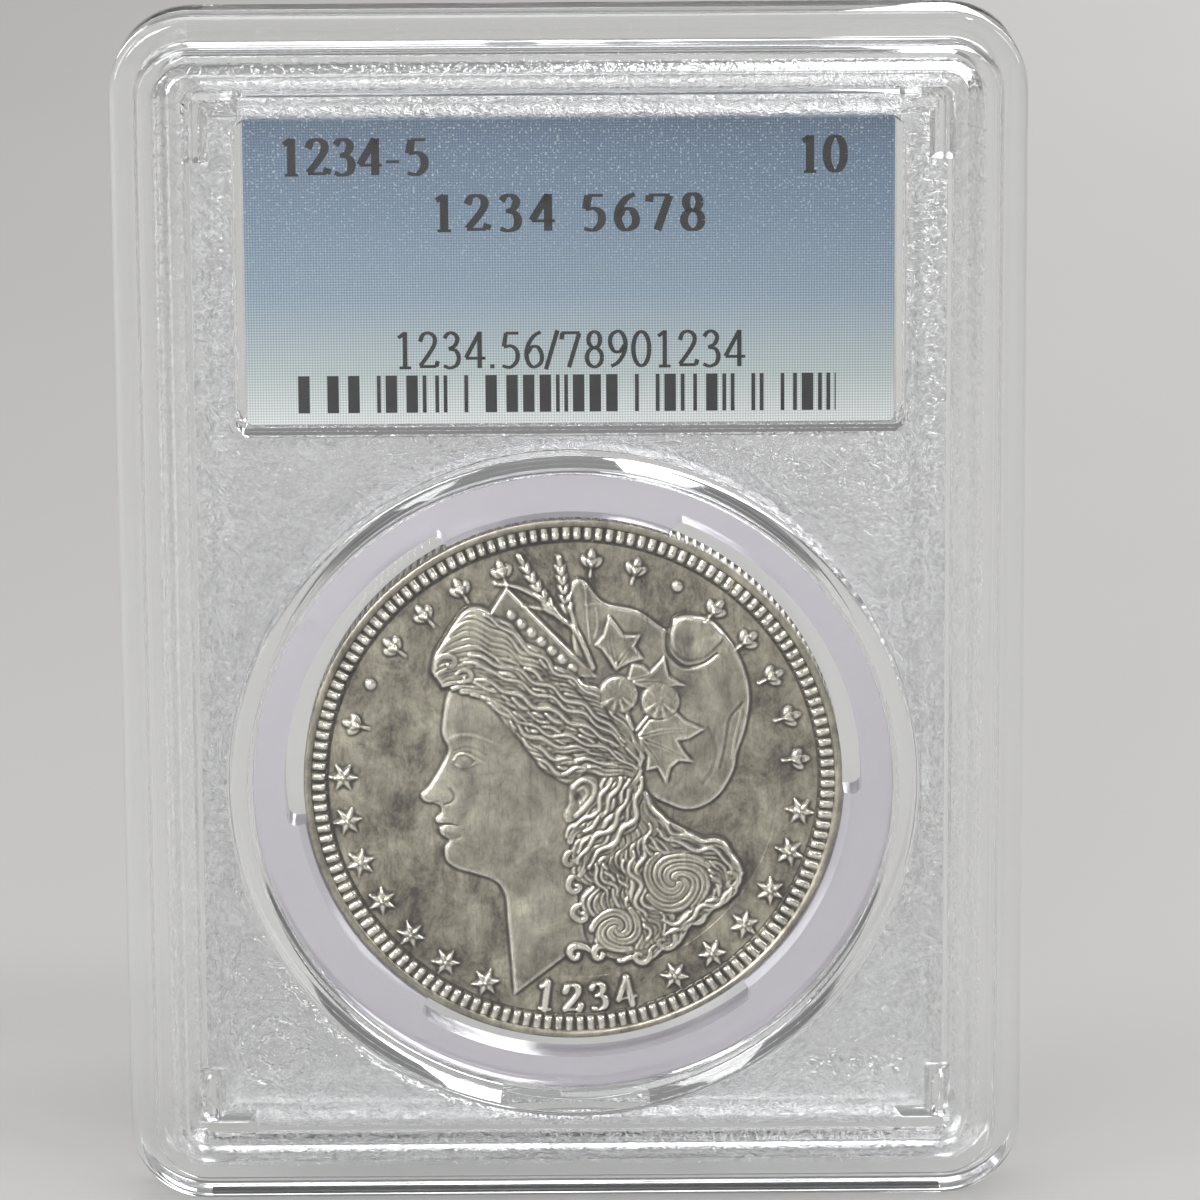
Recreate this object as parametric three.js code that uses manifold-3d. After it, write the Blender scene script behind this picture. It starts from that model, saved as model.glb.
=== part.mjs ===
// Graded coin slab: a clear holder of two welded shells around a large silver coin.
// A translucent ring centres the coin, and a printed label pack with a contactless tag
// lies in a pocket above it.
//
// Millimetres. X runs across the slab, Z up it and Y through it, with the front towards -Y.
// The origin is the middle of the bottom edge, on the parting plane between the shells.
// "inset" is a distance in from the slab's outer edge, and "height" a distance from the
// parting plane, towards the front (side -1) or the back (side 1).

import * as THREE from 'three';
import { mergeVertices } from 'three/addons/utils/BufferGeometryUtils.js';
import Module from 'manifold-3d';

const wasm = await Module();
wasm.setup();

// ---------------------------------------------------------------- driving dimensions

const FRONT = -1;
const BACK = 1;

const SLAB_WIDTH = 63.5;
const SLAB_HEIGHT = 85.7;
const SLAB_HALF_THICKNESS = 4.0;
const CORNER_RADIUS = 5.6;
const SMALLEST_RADIUS = 0.8;
const CORNER_STEPS = 6;
const PLATE_CURVE_STEPS = 3;

const PARTING_HALF_GAP = 0.05;
const FIELD_HEIGHT = 3.0;
const CAVITY_HEIGHT = 1.7;
const EMBED = 0.6;

const OUTER_WALL_INSET = 3.6;
const WELD_WALL_INSETS = [5.8, 7.1];
const GROOVE_INSETS = [2.35, 3.05];
const GROOVE_DEPTH = 0.75;
const TONGUE_INSETS = [2.45, 2.95];
const TONGUE_REACH = 0.6;

const COIN_CENTRE_Z = 30.7;
const COIN_RADIUS = 19.05;
const COIN_THICKNESS = 2.4;
const REED_COUNT = 189;
const REED_DEPTH = 0.12;
const COIN_FIELD_RADIUS = 17.6;
const COIN_RIM_RADIUS = 17.9;
const COIN_FIELD_DEPTH = 0.25;

const RING_RADIUS = 22.7;
const RING_HALF_THICKNESS = 1.5;
const RING_CHAMFER = 0.25;
const RING_PAD_RADIUS = 19.2;
const RING_LIP_RADIUS = 18.9;
const RING_LIP_START = 1.3;
const RING_WINDOW_RADIUS = 20.4;
const RING_WINDOW_ANGLE = 72;
const RING_WINDOW_CENTRES = [33, 153, 273];

const RING_WINDOW_ROUND = 0.04;
const RING_WINDOW_SHOULDER = 0.8;
const RING_WINDOW_STEPS = 7;

const WELL_RADII = [22.95, 24.2];
const WELL_STEPS = 64;
const BEAD_RADII = [22.6, 24.4];
const FRONT_WINDOW_HEIGHT = 3.2;
const FRONT_BEAD_HEIGHT = 3.7;
const BACK_WINDOW_HEIGHT = 3.1;
const BACK_BEAD_HEIGHT = 3.4;

const POCKET_HALF_WIDTH = 22.7;
const POCKET_WALL = 0.6;
const POCKET_BOTTOM_Z = 56.65;
const POCKET_TOP_Z = SLAB_HEIGHT - WELD_WALL_INSETS[1];
const LABEL_WINDOW_HEIGHT = 3.1;
const LABEL_WINDOW_RADIUS = 1.0;
const LABEL_CLEARANCE = 0.15;
const LABEL_STEP = 0.05;
const RIB_CENTRES = [-21.6, -7.2, 7.2, 21.6];
const RIB_WIDTH = 0.8;
const RIB_REACH = 0.25;
const RIB_END_GAP = 1;

const POST_INSET = 5.9;
const POST_ARM_WIDTH = 1.8;
const POST_UPRIGHT = 5.0;
const POST_FOOT = 3.7;
const POST_BEVEL = 0.35;

// How far a cutting tool runs past what it cuts.
const CLEAR = 1;

// The outer face of each shell, from the parting plane round to the field, as
// [inset, height] pairs.
const FRONT_PROFILE = [
  [0, PARTING_HALF_GAP],
  [0, 1.7],
  [0.2, 2.35],
  [0.6, 2.7],
  [1.7, 2.7],
  [2.0, 3.6],
  [2.3, 3.9],
  [2.5, SLAB_HALF_THICKNESS],
  [3.1, SLAB_HALF_THICKNESS],
  [3.6, 3.75],
  [4.15, FIELD_HEIGHT],
  [5.6, FIELD_HEIGHT],
];
const BACK_PROFILE = [
  [0, PARTING_HALF_GAP],
  [0, 2.2],
  [0.2, 2.8],
  [0.6, FIELD_HEIGHT],
  [4.4, FIELD_HEIGHT],
  [4.6, 3.8],
  [4.8, SLAB_HALF_THICKNESS],
  [5.15, SLAB_HALF_THICKNESS],
  [5.35, 3.8],
  [5.55, FIELD_HEIGHT],
  [7.0, FIELD_HEIGHT],
];

// ---------------------------------------------------------------- solids and meshes

function isTriangle(a, b, c) {
  return a !== b && b !== c && c !== a;
}

function signedVolume(positions, triangles) {
  const corner = (i) => new THREE.Vector3().fromArray(positions, 3 * triangles[i]);
  let sum = 0;
  for (let i = 0; i < triangles.length; i += 3) {
    sum += corner(i).dot(corner(i + 1).cross(corner(i + 2)));
  }
  return sum / 6;
}

// A closed geometry as a solid for cutting and joining, with its faces turned outwards.
function toSolid(geometry) {
  const bare = geometry.clone();
  bare.deleteAttribute('normal');
  bare.deleteAttribute('uv');
  const merged = mergeVertices(bare);
  const positions = merged.attributes.position.array;
  const index = merged.index.array;
  const triangles = [];
  for (let i = 0; i < index.length; i += 3) {
    const [a, b, c] = [index[i], index[i + 1], index[i + 2]];
    if (isTriangle(a, b, c)) triangles.push(a, b, c);
  }
  if (signedVolume(positions, triangles) < 0) triangles.reverse();
  const mesh = new wasm.Mesh({
    numProp: 3,
    vertProperties: new Float32Array(positions),
    triVerts: new Uint32Array(triangles),
  });
  return new wasm.Manifold(mesh);
}

function fromSolid(solid) {
  const { vertProperties, triVerts, numProp } = solid.getMesh();
  const positions = [];
  for (let i = 0; i < vertProperties.length; i += numProp) {
    positions.push(vertProperties[i], vertProperties[i + 1], vertProperties[i + 2]);
  }
  const geometry = new THREE.BufferGeometry();
  geometry.setAttribute('position', new THREE.Float32BufferAttribute(positions, 3));
  geometry.setIndex(Array.from(triVerts));
  geometry.computeVertexNormals();
  return geometry;
}

function joined(solids) {
  return solids.reduce((whole, next) => whole.add(next));
}

// ---------------------------------------------------------------- basic shapes

// Corner points of a rounded rectangle, anticlockwise, as [x, z] about its own middle.
function roundedLoop(halfX, halfZ, radius) {
  const points = [];
  for (let quarter = 0; quarter < 4; quarter += 1) {
    const signX = quarter === 0 || quarter === 3 ? 1 : -1;
    const signZ = quarter < 2 ? 1 : -1;
    for (let step = 0; step <= CORNER_STEPS; step += 1) {
      const angle = (Math.PI / 2) * (quarter + step / CORNER_STEPS);
      const x = signX * (halfX - radius) + radius * Math.cos(angle);
      const z = signZ * (halfZ - radius) + radius * Math.sin(angle);
      points.push([x, z]);
    }
  }
  return points;
}

function slabLoop(inset) {
  const radius = Math.max(CORNER_RADIUS - inset, SMALLEST_RADIUS);
  return roundedLoop(SLAB_WIDTH / 2 - inset, SLAB_HEIGHT / 2 - inset, radius);
}

// A solid lofted through the slab's concentric outlines, one for each [inset, height].
function loft(sections, side) {
  const count = slabLoop(0).length;
  const positions = [];
  for (const [inset, height] of sections) {
    for (const [x, z] of slabLoop(inset)) positions.push(x, side * height, z + SLAB_HEIGHT / 2);
  }
  const index = [];
  for (let ring = 0; ring < sections.length - 1; ring += 1) {
    for (let i = 0; i < count; i += 1) {
      const here = ring * count + i;
      const next = ring * count + ((i + 1) % count);
      index.push(here, next, next + count, here, next + count, here + count);
    }
  }
  const last = (sections.length - 1) * count;
  for (let i = 1; i < count - 1; i += 1) {
    index.push(0, i + 1, i);
    index.push(last, last + i, last + i + 1);
  }
  const geometry = new THREE.BufferGeometry();
  geometry.setAttribute('position', new THREE.Float32BufferAttribute(positions, 3));
  geometry.setIndex(index);
  return toSolid(geometry);
}

function slabPrism(inset, heights, side) {
  return loft(heights.map((height) => [inset, height]), side);
}

// A straight-sided band between two insets.
function band([outer, inner], heights, side) {
  const [low, high] = heights;
  const cutter = slabPrism(inner, [low - CLEAR, high + CLEAR], side);
  return slabPrism(outer, heights, side).subtract(cutter);
}

// An outline drawn in X and Z, made solid from y = from to y = to.
function plate(shape, from, to, curveSegments = PLATE_CURVE_STEPS) {
  const options = { depth: to - from, bevelEnabled: false, curveSegments };
  const geometry = new THREE.ExtrudeGeometry(shape, options);
  geometry.rotateX(Math.PI / 2);
  geometry.translate(0, to, 0);
  return geometry;
}

function sidePlate(shape, low, high, side, curveSegments) {
  const [from, to] = side === BACK ? [low, high] : [-high, -low];
  return toSolid(plate(shape, from, to, curveSegments));
}

function rectangle(left, bottom, right, top) {
  const shape = new THREE.Shape();
  shape.moveTo(left, bottom);
  shape.lineTo(right, bottom);
  shape.lineTo(right, top);
  shape.lineTo(left, top);
  shape.closePath();
  return shape;
}

function roundedRectangle(left, bottom, right, top, radius) {
  const shape = new THREE.Shape();
  shape.moveTo(left + radius, bottom);
  shape.lineTo(right - radius, bottom);
  shape.absarc(right - radius, bottom + radius, radius, -Math.PI / 2, 0, false);
  shape.lineTo(right, top - radius);
  shape.absarc(right - radius, top - radius, radius, 0, Math.PI / 2, false);
  shape.lineTo(left + radius, top);
  shape.absarc(left + radius, top - radius, radius, Math.PI / 2, Math.PI, false);
  shape.lineTo(left, bottom + radius);
  shape.absarc(left + radius, bottom + radius, radius, Math.PI, 1.5 * Math.PI, false);
  return shape;
}

// A turned solid about the coin's axis, from [radius, y] points.
function turned(profile, steps = WELL_STEPS) {
  const points = profile.map(([radius, y]) => new THREE.Vector2(radius, y));
  const geometry = new THREE.LatheGeometry(points, steps);
  geometry.translate(0, 0, COIN_CENTRE_Z);
  return toSolid(geometry);
}

function turnedOnSide(profile, side) {
  return turned(profile.map(([radius, height]) => [radius, side * height]));
}

// ---------------------------------------------------------------- the two shells

function pocketShape(grow) {
  const half = POCKET_HALF_WIDTH + grow;
  return rectangle(-half, POCKET_BOTTOM_Z - grow, half, POCKET_TOP_Z + grow);
}

function pocketWall(heights, side) {
  const [low, high] = heights;
  const inside = sidePlate(pocketShape(0), low - CLEAR, high + CLEAR, side);
  return sidePlate(pocketShape(POCKET_WALL), low, high, side).subtract(inside);
}

function wellWall([low, high], side) {
  const [inner, outer] = WELL_RADII;
  return turnedOnSide([[inner, low], [outer, low], [outer, high], [inner, high], [inner, low]], side);
}

// All the room inside one shell, left around its walls.
function cavity(side) {
  const heights = [-TONGUE_REACH - CLEAR, CAVITY_HEIGHT];
  const walls = joined([pocketWall(heights, side), wellWall(heights, side)]);
  const middle = slabPrism(WELD_WALL_INSETS[1], heights, side).subtract(walls);
  return band([OUTER_WALL_INSET, WELD_WALL_INSETS[0]], heights, side).add(middle);
}

// The polished disc over the coin, with a raised bead round it.
function coinWindow(side, windowHeight, crestHeight) {
  const low = FIELD_HEIGHT - EMBED;
  const [inner, outer] = BEAD_RADII;
  const width = outer - inner;
  return turnedOnSide([
    [0, low],
    [outer, low],
    [outer, FIELD_HEIGHT],
    [outer - 0.12 * width, (FIELD_HEIGHT + crestHeight) / 2],
    [outer - 0.35 * width, crestHeight],
    [inner + 0.35 * width, crestHeight],
    [inner + 0.12 * width, (windowHeight + crestHeight) / 2],
    [inner, windowHeight],
    [0, windowHeight],
  ], side);
}

function labelWindow(side) {
  const half = POCKET_HALF_WIDTH + POCKET_WALL;
  const bottom = POCKET_BOTTOM_Z - POCKET_WALL;
  const shape = roundedRectangle(-half, bottom, half, POCKET_TOP_Z, LABEL_WINDOW_RADIUS);
  return sidePlate(shape, FIELD_HEIGHT - EMBED, LABEL_WINDOW_HEIGHT, side);
}

// The L-shaped stacking posts stand at the corners of the front field.
function cornerPost(signX, signZ) {
  const x = (distance) => signX * (SLAB_WIDTH / 2 - POST_INSET - distance);
  const z = (distance) => SLAB_HEIGHT / 2 + signZ * (SLAB_HEIGHT / 2 - POST_INSET - distance);
  const shape = new THREE.Shape();
  shape.moveTo(x(0), z(POST_ARM_WIDTH / 2));
  shape.lineTo(x(0), z(POST_UPRIGHT));
  shape.lineTo(x(POST_ARM_WIDTH), z(POST_UPRIGHT));
  shape.lineTo(x(POST_ARM_WIDTH), z(POST_ARM_WIDTH));
  shape.lineTo(x(POST_FOOT), z(POST_ARM_WIDTH));
  shape.lineTo(x(POST_FOOT), z(0));
  shape.lineTo(x(POST_ARM_WIDTH / 2), z(0));
  shape.closePath();
  const low = FIELD_HEIGHT - EMBED;
  const geometry = new THREE.ExtrudeGeometry(shape, {
    depth: SLAB_HALF_THICKNESS - low - 2 * POST_BEVEL,
    bevelThickness: POST_BEVEL,
    bevelSize: POST_BEVEL,
    bevelOffset: -POST_BEVEL,
    bevelSegments: 1,
  });
  geometry.rotateX(Math.PI / 2);
  geometry.translate(0, -low - POST_BEVEL, 0);
  return toSolid(geometry);
}

function frontShell() {
  const pieces = [
    loft(FRONT_PROFILE, FRONT),
    coinWindow(FRONT, FRONT_WINDOW_HEIGHT, FRONT_BEAD_HEIGHT),
    labelWindow(FRONT),
  ];
  for (const signX of [-1, 1]) {
    for (const signZ of [-1, 1]) pieces.push(cornerPost(signX, signZ));
  }
  const groove = band(GROOVE_INSETS, [-CLEAR, GROOVE_DEPTH], FRONT);
  return joined(pieces).subtract(cavity(FRONT)).subtract(groove);
}

// Upright ribs behind the label pack keep it against the front window.
function labelRibs() {
  const bottom = POCKET_BOTTOM_Z + RIB_END_GAP;
  const top = POCKET_TOP_Z - RIB_END_GAP;
  return RIB_CENTRES.map((x) => {
    const shape = rectangle(x - RIB_WIDTH / 2, bottom, x + RIB_WIDTH / 2, top);
    return sidePlate(shape, -RIB_REACH, CAVITY_HEIGHT + EMBED, BACK);
  });
}

function backShell() {
  const tongue = band(TONGUE_INSETS, [-TONGUE_REACH, EMBED], BACK);
  const body = joined([
    loft(BACK_PROFILE, BACK),
    coinWindow(BACK, BACK_WINDOW_HEIGHT, BACK_BEAD_HEIGHT),
    labelWindow(BACK),
  ]);
  return joined([body.subtract(cavity(BACK)), tongue, ...labelRibs()]);
}

// ---------------------------------------------------------------- ring and coin

function ringWindow(centreAngle) {
  const toRadians = THREE.MathUtils.degToRad;
  const half = toRadians(RING_WINDOW_ANGLE / 2);
  const centre = toRadians(centreAngle);
  const round = RING_WINDOW_ROUND;
  const at = (radius, angle) => [radius * Math.cos(angle), COIN_CENTRE_Z + radius * Math.sin(angle)];
  const innerRadius = RING_LIP_RADIUS - CLEAR;
  const startTurn = RING_WINDOW_RADIUS - RING_WINDOW_SHOULDER;
  const shape = new THREE.Shape();
  shape.moveTo(...at(innerRadius, centre - half));
  shape.lineTo(...at(startTurn, centre - half));
  shape.quadraticCurveTo(
    ...at(RING_WINDOW_RADIUS, centre - half),
    ...at(RING_WINDOW_RADIUS, centre - half + round),
  );
  shape.absarc(0, COIN_CENTRE_Z, RING_WINDOW_RADIUS, centre - half + round, centre + half - round, false);
  shape.quadraticCurveTo(...at(RING_WINDOW_RADIUS, centre + half), ...at(startTurn, centre + half));
  shape.lineTo(...at(innerRadius, centre + half));
  shape.absarc(0, COIN_CENTRE_Z, innerRadius, centre + half, centre - half, true);
  const reach = RING_HALF_THICKNESS + CLEAR;
  return sidePlate(shape, -reach, reach, BACK, RING_WINDOW_STEPS);
}

function coinRing() {
  const chamfer = RING_CHAMFER;
  const outerShoulder = RING_HALF_THICKNESS - chamfer;
  const body = turned([
    [RING_LIP_RADIUS, -RING_HALF_THICKNESS],
    [RING_RADIUS - chamfer, -RING_HALF_THICKNESS],
    [RING_RADIUS, -outerShoulder],
    [RING_RADIUS, outerShoulder],
    [RING_RADIUS - chamfer, RING_HALF_THICKNESS],
    [RING_LIP_RADIUS, RING_HALF_THICKNESS],
    [RING_PAD_RADIUS, RING_LIP_START],
    [RING_PAD_RADIUS, -RING_LIP_START],
    [RING_LIP_RADIUS, -RING_HALF_THICKNESS],
  ]);
  return RING_WINDOW_CENTRES.reduce((ring, angle) => ring.subtract(ringWindow(angle)), body);
}

function reededOutline() {
  const shape = new THREE.Shape();
  for (let i = 0; i < 2 * REED_COUNT; i += 1) {
    const radius = i % 2 === 0 ? COIN_RADIUS : COIN_RADIUS - REED_DEPTH;
    const angle = (Math.PI * i) / REED_COUNT;
    const x = radius * Math.cos(angle);
    const z = COIN_CENTRE_Z + radius * Math.sin(angle);
    if (i === 0) shape.moveTo(x, z);
    else shape.lineTo(x, z);
  }
  shape.closePath();
  return shape;
}

function coin() {
  const half = COIN_THICKNESS / 2;
  const sunk = (side) => turnedOnSide([
    [0, half - COIN_FIELD_DEPTH],
    [COIN_FIELD_RADIUS, half - COIN_FIELD_DEPTH],
    [COIN_RIM_RADIUS, half],
    [COIN_RIM_RADIUS, half + CLEAR],
    [0, half + CLEAR],
  ], side);
  return sidePlate(reededOutline(), -half, half, BACK).subtract(sunk(FRONT)).subtract(sunk(BACK));
}

// ---------------------------------------------------------------- the label pack

const PACK_START = -CAVITY_HEIGHT + LABEL_STEP;
const CARD_THICKNESS = 0.35;
const FILM_THICKNESS = 0.15;
const ANTENNA_THICKNESS = 0.1;
const BRIDGE_THICKNESS = 0.08;
const CHIP_THICKNESS = 0.2;
const HOLOGRAM_THICKNESS = 0.05;
const HOLOGRAM_HALF_WIDTH = 5.5;
const HOLOGRAM_HALF_HEIGHT = 4.5;
const CARD_CORNER_RADIUS = 0.4;
const CHIP_CORNER_RADIUS = 0.2;
const HOLOGRAM_CORNER_RADIUS = 1.2;
const FILM_MARGIN = 0.3;
const FILM_Y = PACK_START + CARD_THICKNESS + LABEL_STEP;
const ANTENNA_Y = FILM_Y + FILM_THICKNESS + LABEL_STEP;
const BRIDGE_Y = ANTENNA_Y + ANTENNA_THICKNESS + LABEL_STEP;
const REAR_CARD_Y = BRIDGE_Y + CHIP_THICKNESS + LABEL_STEP;
const HOLOGRAM_Y = REAR_CARD_Y + CARD_THICKNESS + LABEL_STEP;

const LABEL_LEFT = -POCKET_HALF_WIDTH + LABEL_CLEARANCE;
const LABEL_RIGHT = POCKET_HALF_WIDTH - LABEL_CLEARANCE;
const LABEL_BOTTOM = POCKET_BOTTOM_Z + LABEL_CLEARANCE;
const LABEL_TOP = POCKET_TOP_Z - LABEL_CLEARANCE;

const ANTENNA_TURNS = 5;
const ANTENNA_TRACK = 0.5;
const ANTENNA_PITCH = 1.0;
const ANTENNA_MARGIN = 0.9;
const CHIP_SIZE = 1.6;
const CHIP_GAP = 0.1;
const CHIP_X = LABEL_LEFT + ANTENNA_MARGIN + ANTENNA_TURNS * ANTENNA_PITCH + ANTENNA_TRACK / 2;
const CHIP_Z = (LABEL_BOTTOM + LABEL_TOP) / 2;

function card(y, margin, thickness) {
  const shape = roundedRectangle(
    LABEL_LEFT + margin,
    LABEL_BOTTOM + margin,
    LABEL_RIGHT - margin,
    LABEL_TOP - margin,
    CARD_CORNER_RADIUS,
  );
  return toSolid(plate(shape, y, y + thickness));
}

// Corners along one side of the antenna's flat rectangular spiral, from its outer end inwards.
function spiralCorners(offset) {
  const corners = [];
  for (let turn = 0; turn < ANTENNA_TURNS; turn += 1) {
    const inset = ANTENNA_MARGIN + turn * ANTENNA_PITCH + offset;
    const left = LABEL_LEFT + inset;
    const right = LABEL_RIGHT - inset;
    const bottom = LABEL_BOTTOM + inset;
    const top = LABEL_TOP - inset;
    corners.push([left, top], [right, top], [right, bottom], [left + ANTENNA_PITCH, bottom]);
  }
  return corners;
}

// Both ends of the spiral lie level with the chip: the outer one under the bridge's far end
// and the inner one under the chip itself.
function spiralOutline() {
  const outerEnd = LABEL_LEFT + ANTENNA_MARGIN;
  const innerEnd = outerEnd + ANTENNA_TURNS * ANTENNA_PITCH;
  const low = CHIP_Z - ANTENNA_TRACK / 2;
  const high = CHIP_Z + ANTENNA_TRACK / 2;
  const shape = new THREE.Shape();
  shape.moveTo(outerEnd, low);
  for (const [x, z] of spiralCorners(0)) shape.lineTo(x, z);
  shape.lineTo(innerEnd, high);
  shape.lineTo(innerEnd + ANTENNA_TRACK, high);
  for (const [x, z] of spiralCorners(ANTENNA_TRACK).reverse()) shape.lineTo(x, z);
  shape.lineTo(outerEnd + ANTENNA_TRACK, low);
  shape.closePath();
  return shape;
}

function antenna() {
  return toSolid(plate(spiralOutline(), ANTENNA_Y, ANTENNA_Y + ANTENNA_THICKNESS));
}

// A flat crossover that carries the spiral's outer end over the turns to the chip.
function antennaBridge() {
  const left = LABEL_LEFT + ANTENNA_MARGIN;
  const right = CHIP_X - CHIP_SIZE / 2 - CHIP_GAP;
  const halfTrack = ANTENNA_TRACK / 2;
  const shape = rectangle(left, CHIP_Z - halfTrack, right, CHIP_Z + halfTrack);
  return toSolid(plate(shape, BRIDGE_Y, BRIDGE_Y + BRIDGE_THICKNESS));
}

function chip() {
  const half = CHIP_SIZE / 2;
  const shape = roundedRectangle(
    CHIP_X - half,
    CHIP_Z - half,
    CHIP_X + half,
    CHIP_Z + half,
    CHIP_CORNER_RADIUS,
  );
  return toSolid(plate(shape, BRIDGE_Y, BRIDGE_Y + CHIP_THICKNESS));
}

function hologram() {
  const middle = (LABEL_BOTTOM + LABEL_TOP) / 2;
  const shape = roundedRectangle(
    -HOLOGRAM_HALF_WIDTH,
    middle - HOLOGRAM_HALF_HEIGHT,
    HOLOGRAM_HALF_WIDTH,
    middle + HOLOGRAM_HALF_HEIGHT,
    HOLOGRAM_CORNER_RADIUS,
  );
  return toSolid(plate(shape, HOLOGRAM_Y, HOLOGRAM_Y + HOLOGRAM_THICKNESS));
}

// ---------------------------------------------------------------- materials

function finish(color, roughness, metalness) {
  return new THREE.MeshStandardMaterial({ color, roughness, metalness });
}

function clearPlastic() {
  const material = finish(0xe9edf0, 0.08, 0);
  material.transparent = true;
  material.opacity = 0.35;
  return material;
}

const milkyPlastic = () => finish(0xd9d3dc, 0.4, 0);
const tonedSilver = () => finish(0x9c978a, 0.32, 1);
const bluePrint = () => finish(0x8fa7bf, 0.5, 0);
const whiteCard = () => finish(0xe6e8ea, 0.6, 0);
const clearFilm = () => finish(0xdfe3e6, 0.3, 0);
const aluminiumFoil = () => finish(0xc6c8ca, 0.35, 1);
const blackChip = () => finish(0x1c1d20, 0.5, 0);
const holographicFoil = () => finish(0xd4dbe0, 0.2, 1);

// ---------------------------------------------------------------- assembly

const slab = new THREE.Group();

function addPiece(name, solid, material) {
  const mesh = new THREE.Mesh(fromSolid(solid), material);
  mesh.name = name;
  slab.add(mesh);
}

addPiece('front_shell', frontShell(), clearPlastic());
addPiece('back_shell', backShell(), clearPlastic());
addPiece('coin_ring', coinRing(), milkyPlastic());
addPiece('coin', coin(), tonedSilver());
addPiece('front_label_card', card(PACK_START, 0, CARD_THICKNESS), bluePrint());
addPiece('nfc_carrier_film', card(FILM_Y, FILM_MARGIN, FILM_THICKNESS), clearFilm());
addPiece('nfc_antenna', antenna(), aluminiumFoil());
addPiece('nfc_antenna_bridge', antennaBridge(), aluminiumFoil());
addPiece('nfc_chip', chip(), blackChip());
addPiece('rear_label_card', card(REAR_CARD_Y, 0, CARD_THICKNESS), whiteCard());
addPiece('hologram_patch', hologram(), holographicFoil());

export default slab;
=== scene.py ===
"""Looks of the graded coin slab: a clear welded holder, its coin, ring and label pack.

Lengths are in millimetres until a mesh is made, and then in metres, in the CAD frame:
X across the slab, Z up it, and Y through it with the front towards -Y. An "inset" is a
distance in from the slab's outer edge, and a "height" one from the parting plane,
towards the front (side -1) or the back (side 1).
"""

import cmath
import math
import random

import bpy
import numpy as np
from mathutils import Matrix, Vector

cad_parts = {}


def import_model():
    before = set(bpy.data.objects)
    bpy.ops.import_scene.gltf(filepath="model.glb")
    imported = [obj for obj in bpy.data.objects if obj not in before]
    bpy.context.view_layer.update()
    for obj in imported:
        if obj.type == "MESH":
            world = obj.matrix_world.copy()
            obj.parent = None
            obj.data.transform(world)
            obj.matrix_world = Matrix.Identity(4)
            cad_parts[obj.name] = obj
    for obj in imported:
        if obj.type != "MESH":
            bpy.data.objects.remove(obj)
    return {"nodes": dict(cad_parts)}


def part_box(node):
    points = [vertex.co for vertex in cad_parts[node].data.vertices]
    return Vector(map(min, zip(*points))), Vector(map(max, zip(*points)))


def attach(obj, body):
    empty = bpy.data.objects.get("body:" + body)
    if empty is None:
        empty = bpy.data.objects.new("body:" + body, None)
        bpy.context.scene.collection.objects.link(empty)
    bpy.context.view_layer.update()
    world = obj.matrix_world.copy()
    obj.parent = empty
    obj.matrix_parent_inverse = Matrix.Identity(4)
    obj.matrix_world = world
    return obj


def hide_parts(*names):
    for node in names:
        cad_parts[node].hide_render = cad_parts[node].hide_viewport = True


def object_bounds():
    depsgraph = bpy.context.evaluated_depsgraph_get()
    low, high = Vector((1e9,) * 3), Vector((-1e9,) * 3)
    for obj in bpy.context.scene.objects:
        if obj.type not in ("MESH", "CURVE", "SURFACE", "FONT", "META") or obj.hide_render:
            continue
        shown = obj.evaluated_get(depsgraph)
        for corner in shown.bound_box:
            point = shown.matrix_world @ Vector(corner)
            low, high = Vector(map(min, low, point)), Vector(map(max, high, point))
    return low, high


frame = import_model()
cad_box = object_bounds()

MM = 0.001
FRONT, BACK = -1, 1


def box_mm(node):
    """Lowest and highest corners of a CAD node, in millimetres."""
    return [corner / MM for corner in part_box(node)]


slab_low, slab_high = [corner / MM for corner in cad_box]
coin_low, coin_high = box_mm("coin")
ring_high = box_mm("coin_ring")[1]
card_low, card_high = box_mm("front_label_card")

SLAB_WIDTH = slab_high.x - slab_low.x
SLAB_HEIGHT = slab_high.z - slab_low.z
HALF_THICKNESS = slab_high.y
COIN_Z = (coin_low.z + coin_high.z) / 2
COIN_RADIUS, COIN_HALF = coin_high.x, coin_high.y
RING_RADIUS, RING_HALF = ring_high.x, ring_high.y

CORNER_RADIUS = 5.6
SMALLEST_RADIUS = 0.8
FIELD_HEIGHT = 3.0
CAVITY_HEIGHT = 1.7
WELL_RADII = (22.95, 24.2)

# ---- points and meshes


def polar(radius, degrees):
    angle = math.radians(degrees)
    return radius * math.cos(angle), radius * math.sin(angle)


def arc(centre, radii, first=0, last=360, steps=14):
    """Points along a circle of one radius or an ellipse of two, between angles in degrees."""
    radius_u, radius_v = np.broadcast_to(radii, 2)
    ways = [polar(1, first + (last - first) * k / steps) for k in range(steps + 1)]
    return [(centre[0] + radius_u * c, centre[1] + radius_v * s) for c, s in ways]


def filleted(corners, steps=6):
    """The (u, v) points of a path through (u, v, radius) corners, each rounded to its radius."""
    path = []
    for i, (u, v, radius) in enumerate(corners):
        here = complex(u, v)
        if radius == 0:
            path.append(here)
            continue
        ways = [complex(*corners[j % len(corners)][:2]) - here for j in (i - 1, i + 1)]
        before, after = [way / abs(way) for way in ways]
        bisector = (before + after) / abs(before + after)
        half = abs(cmath.phase(before / bisector))
        centre = here + bisector * radius / math.sin(half)
        first, last = [here + way * radius / math.tan(half) - centre for way in (before, after)]
        turn = cmath.phase(last / first)
        path += [centre + first * cmath.rect(1, turn * step / steps) for step in range(steps + 1)]
    return [(p.real, p.imag) for p in path]


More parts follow.
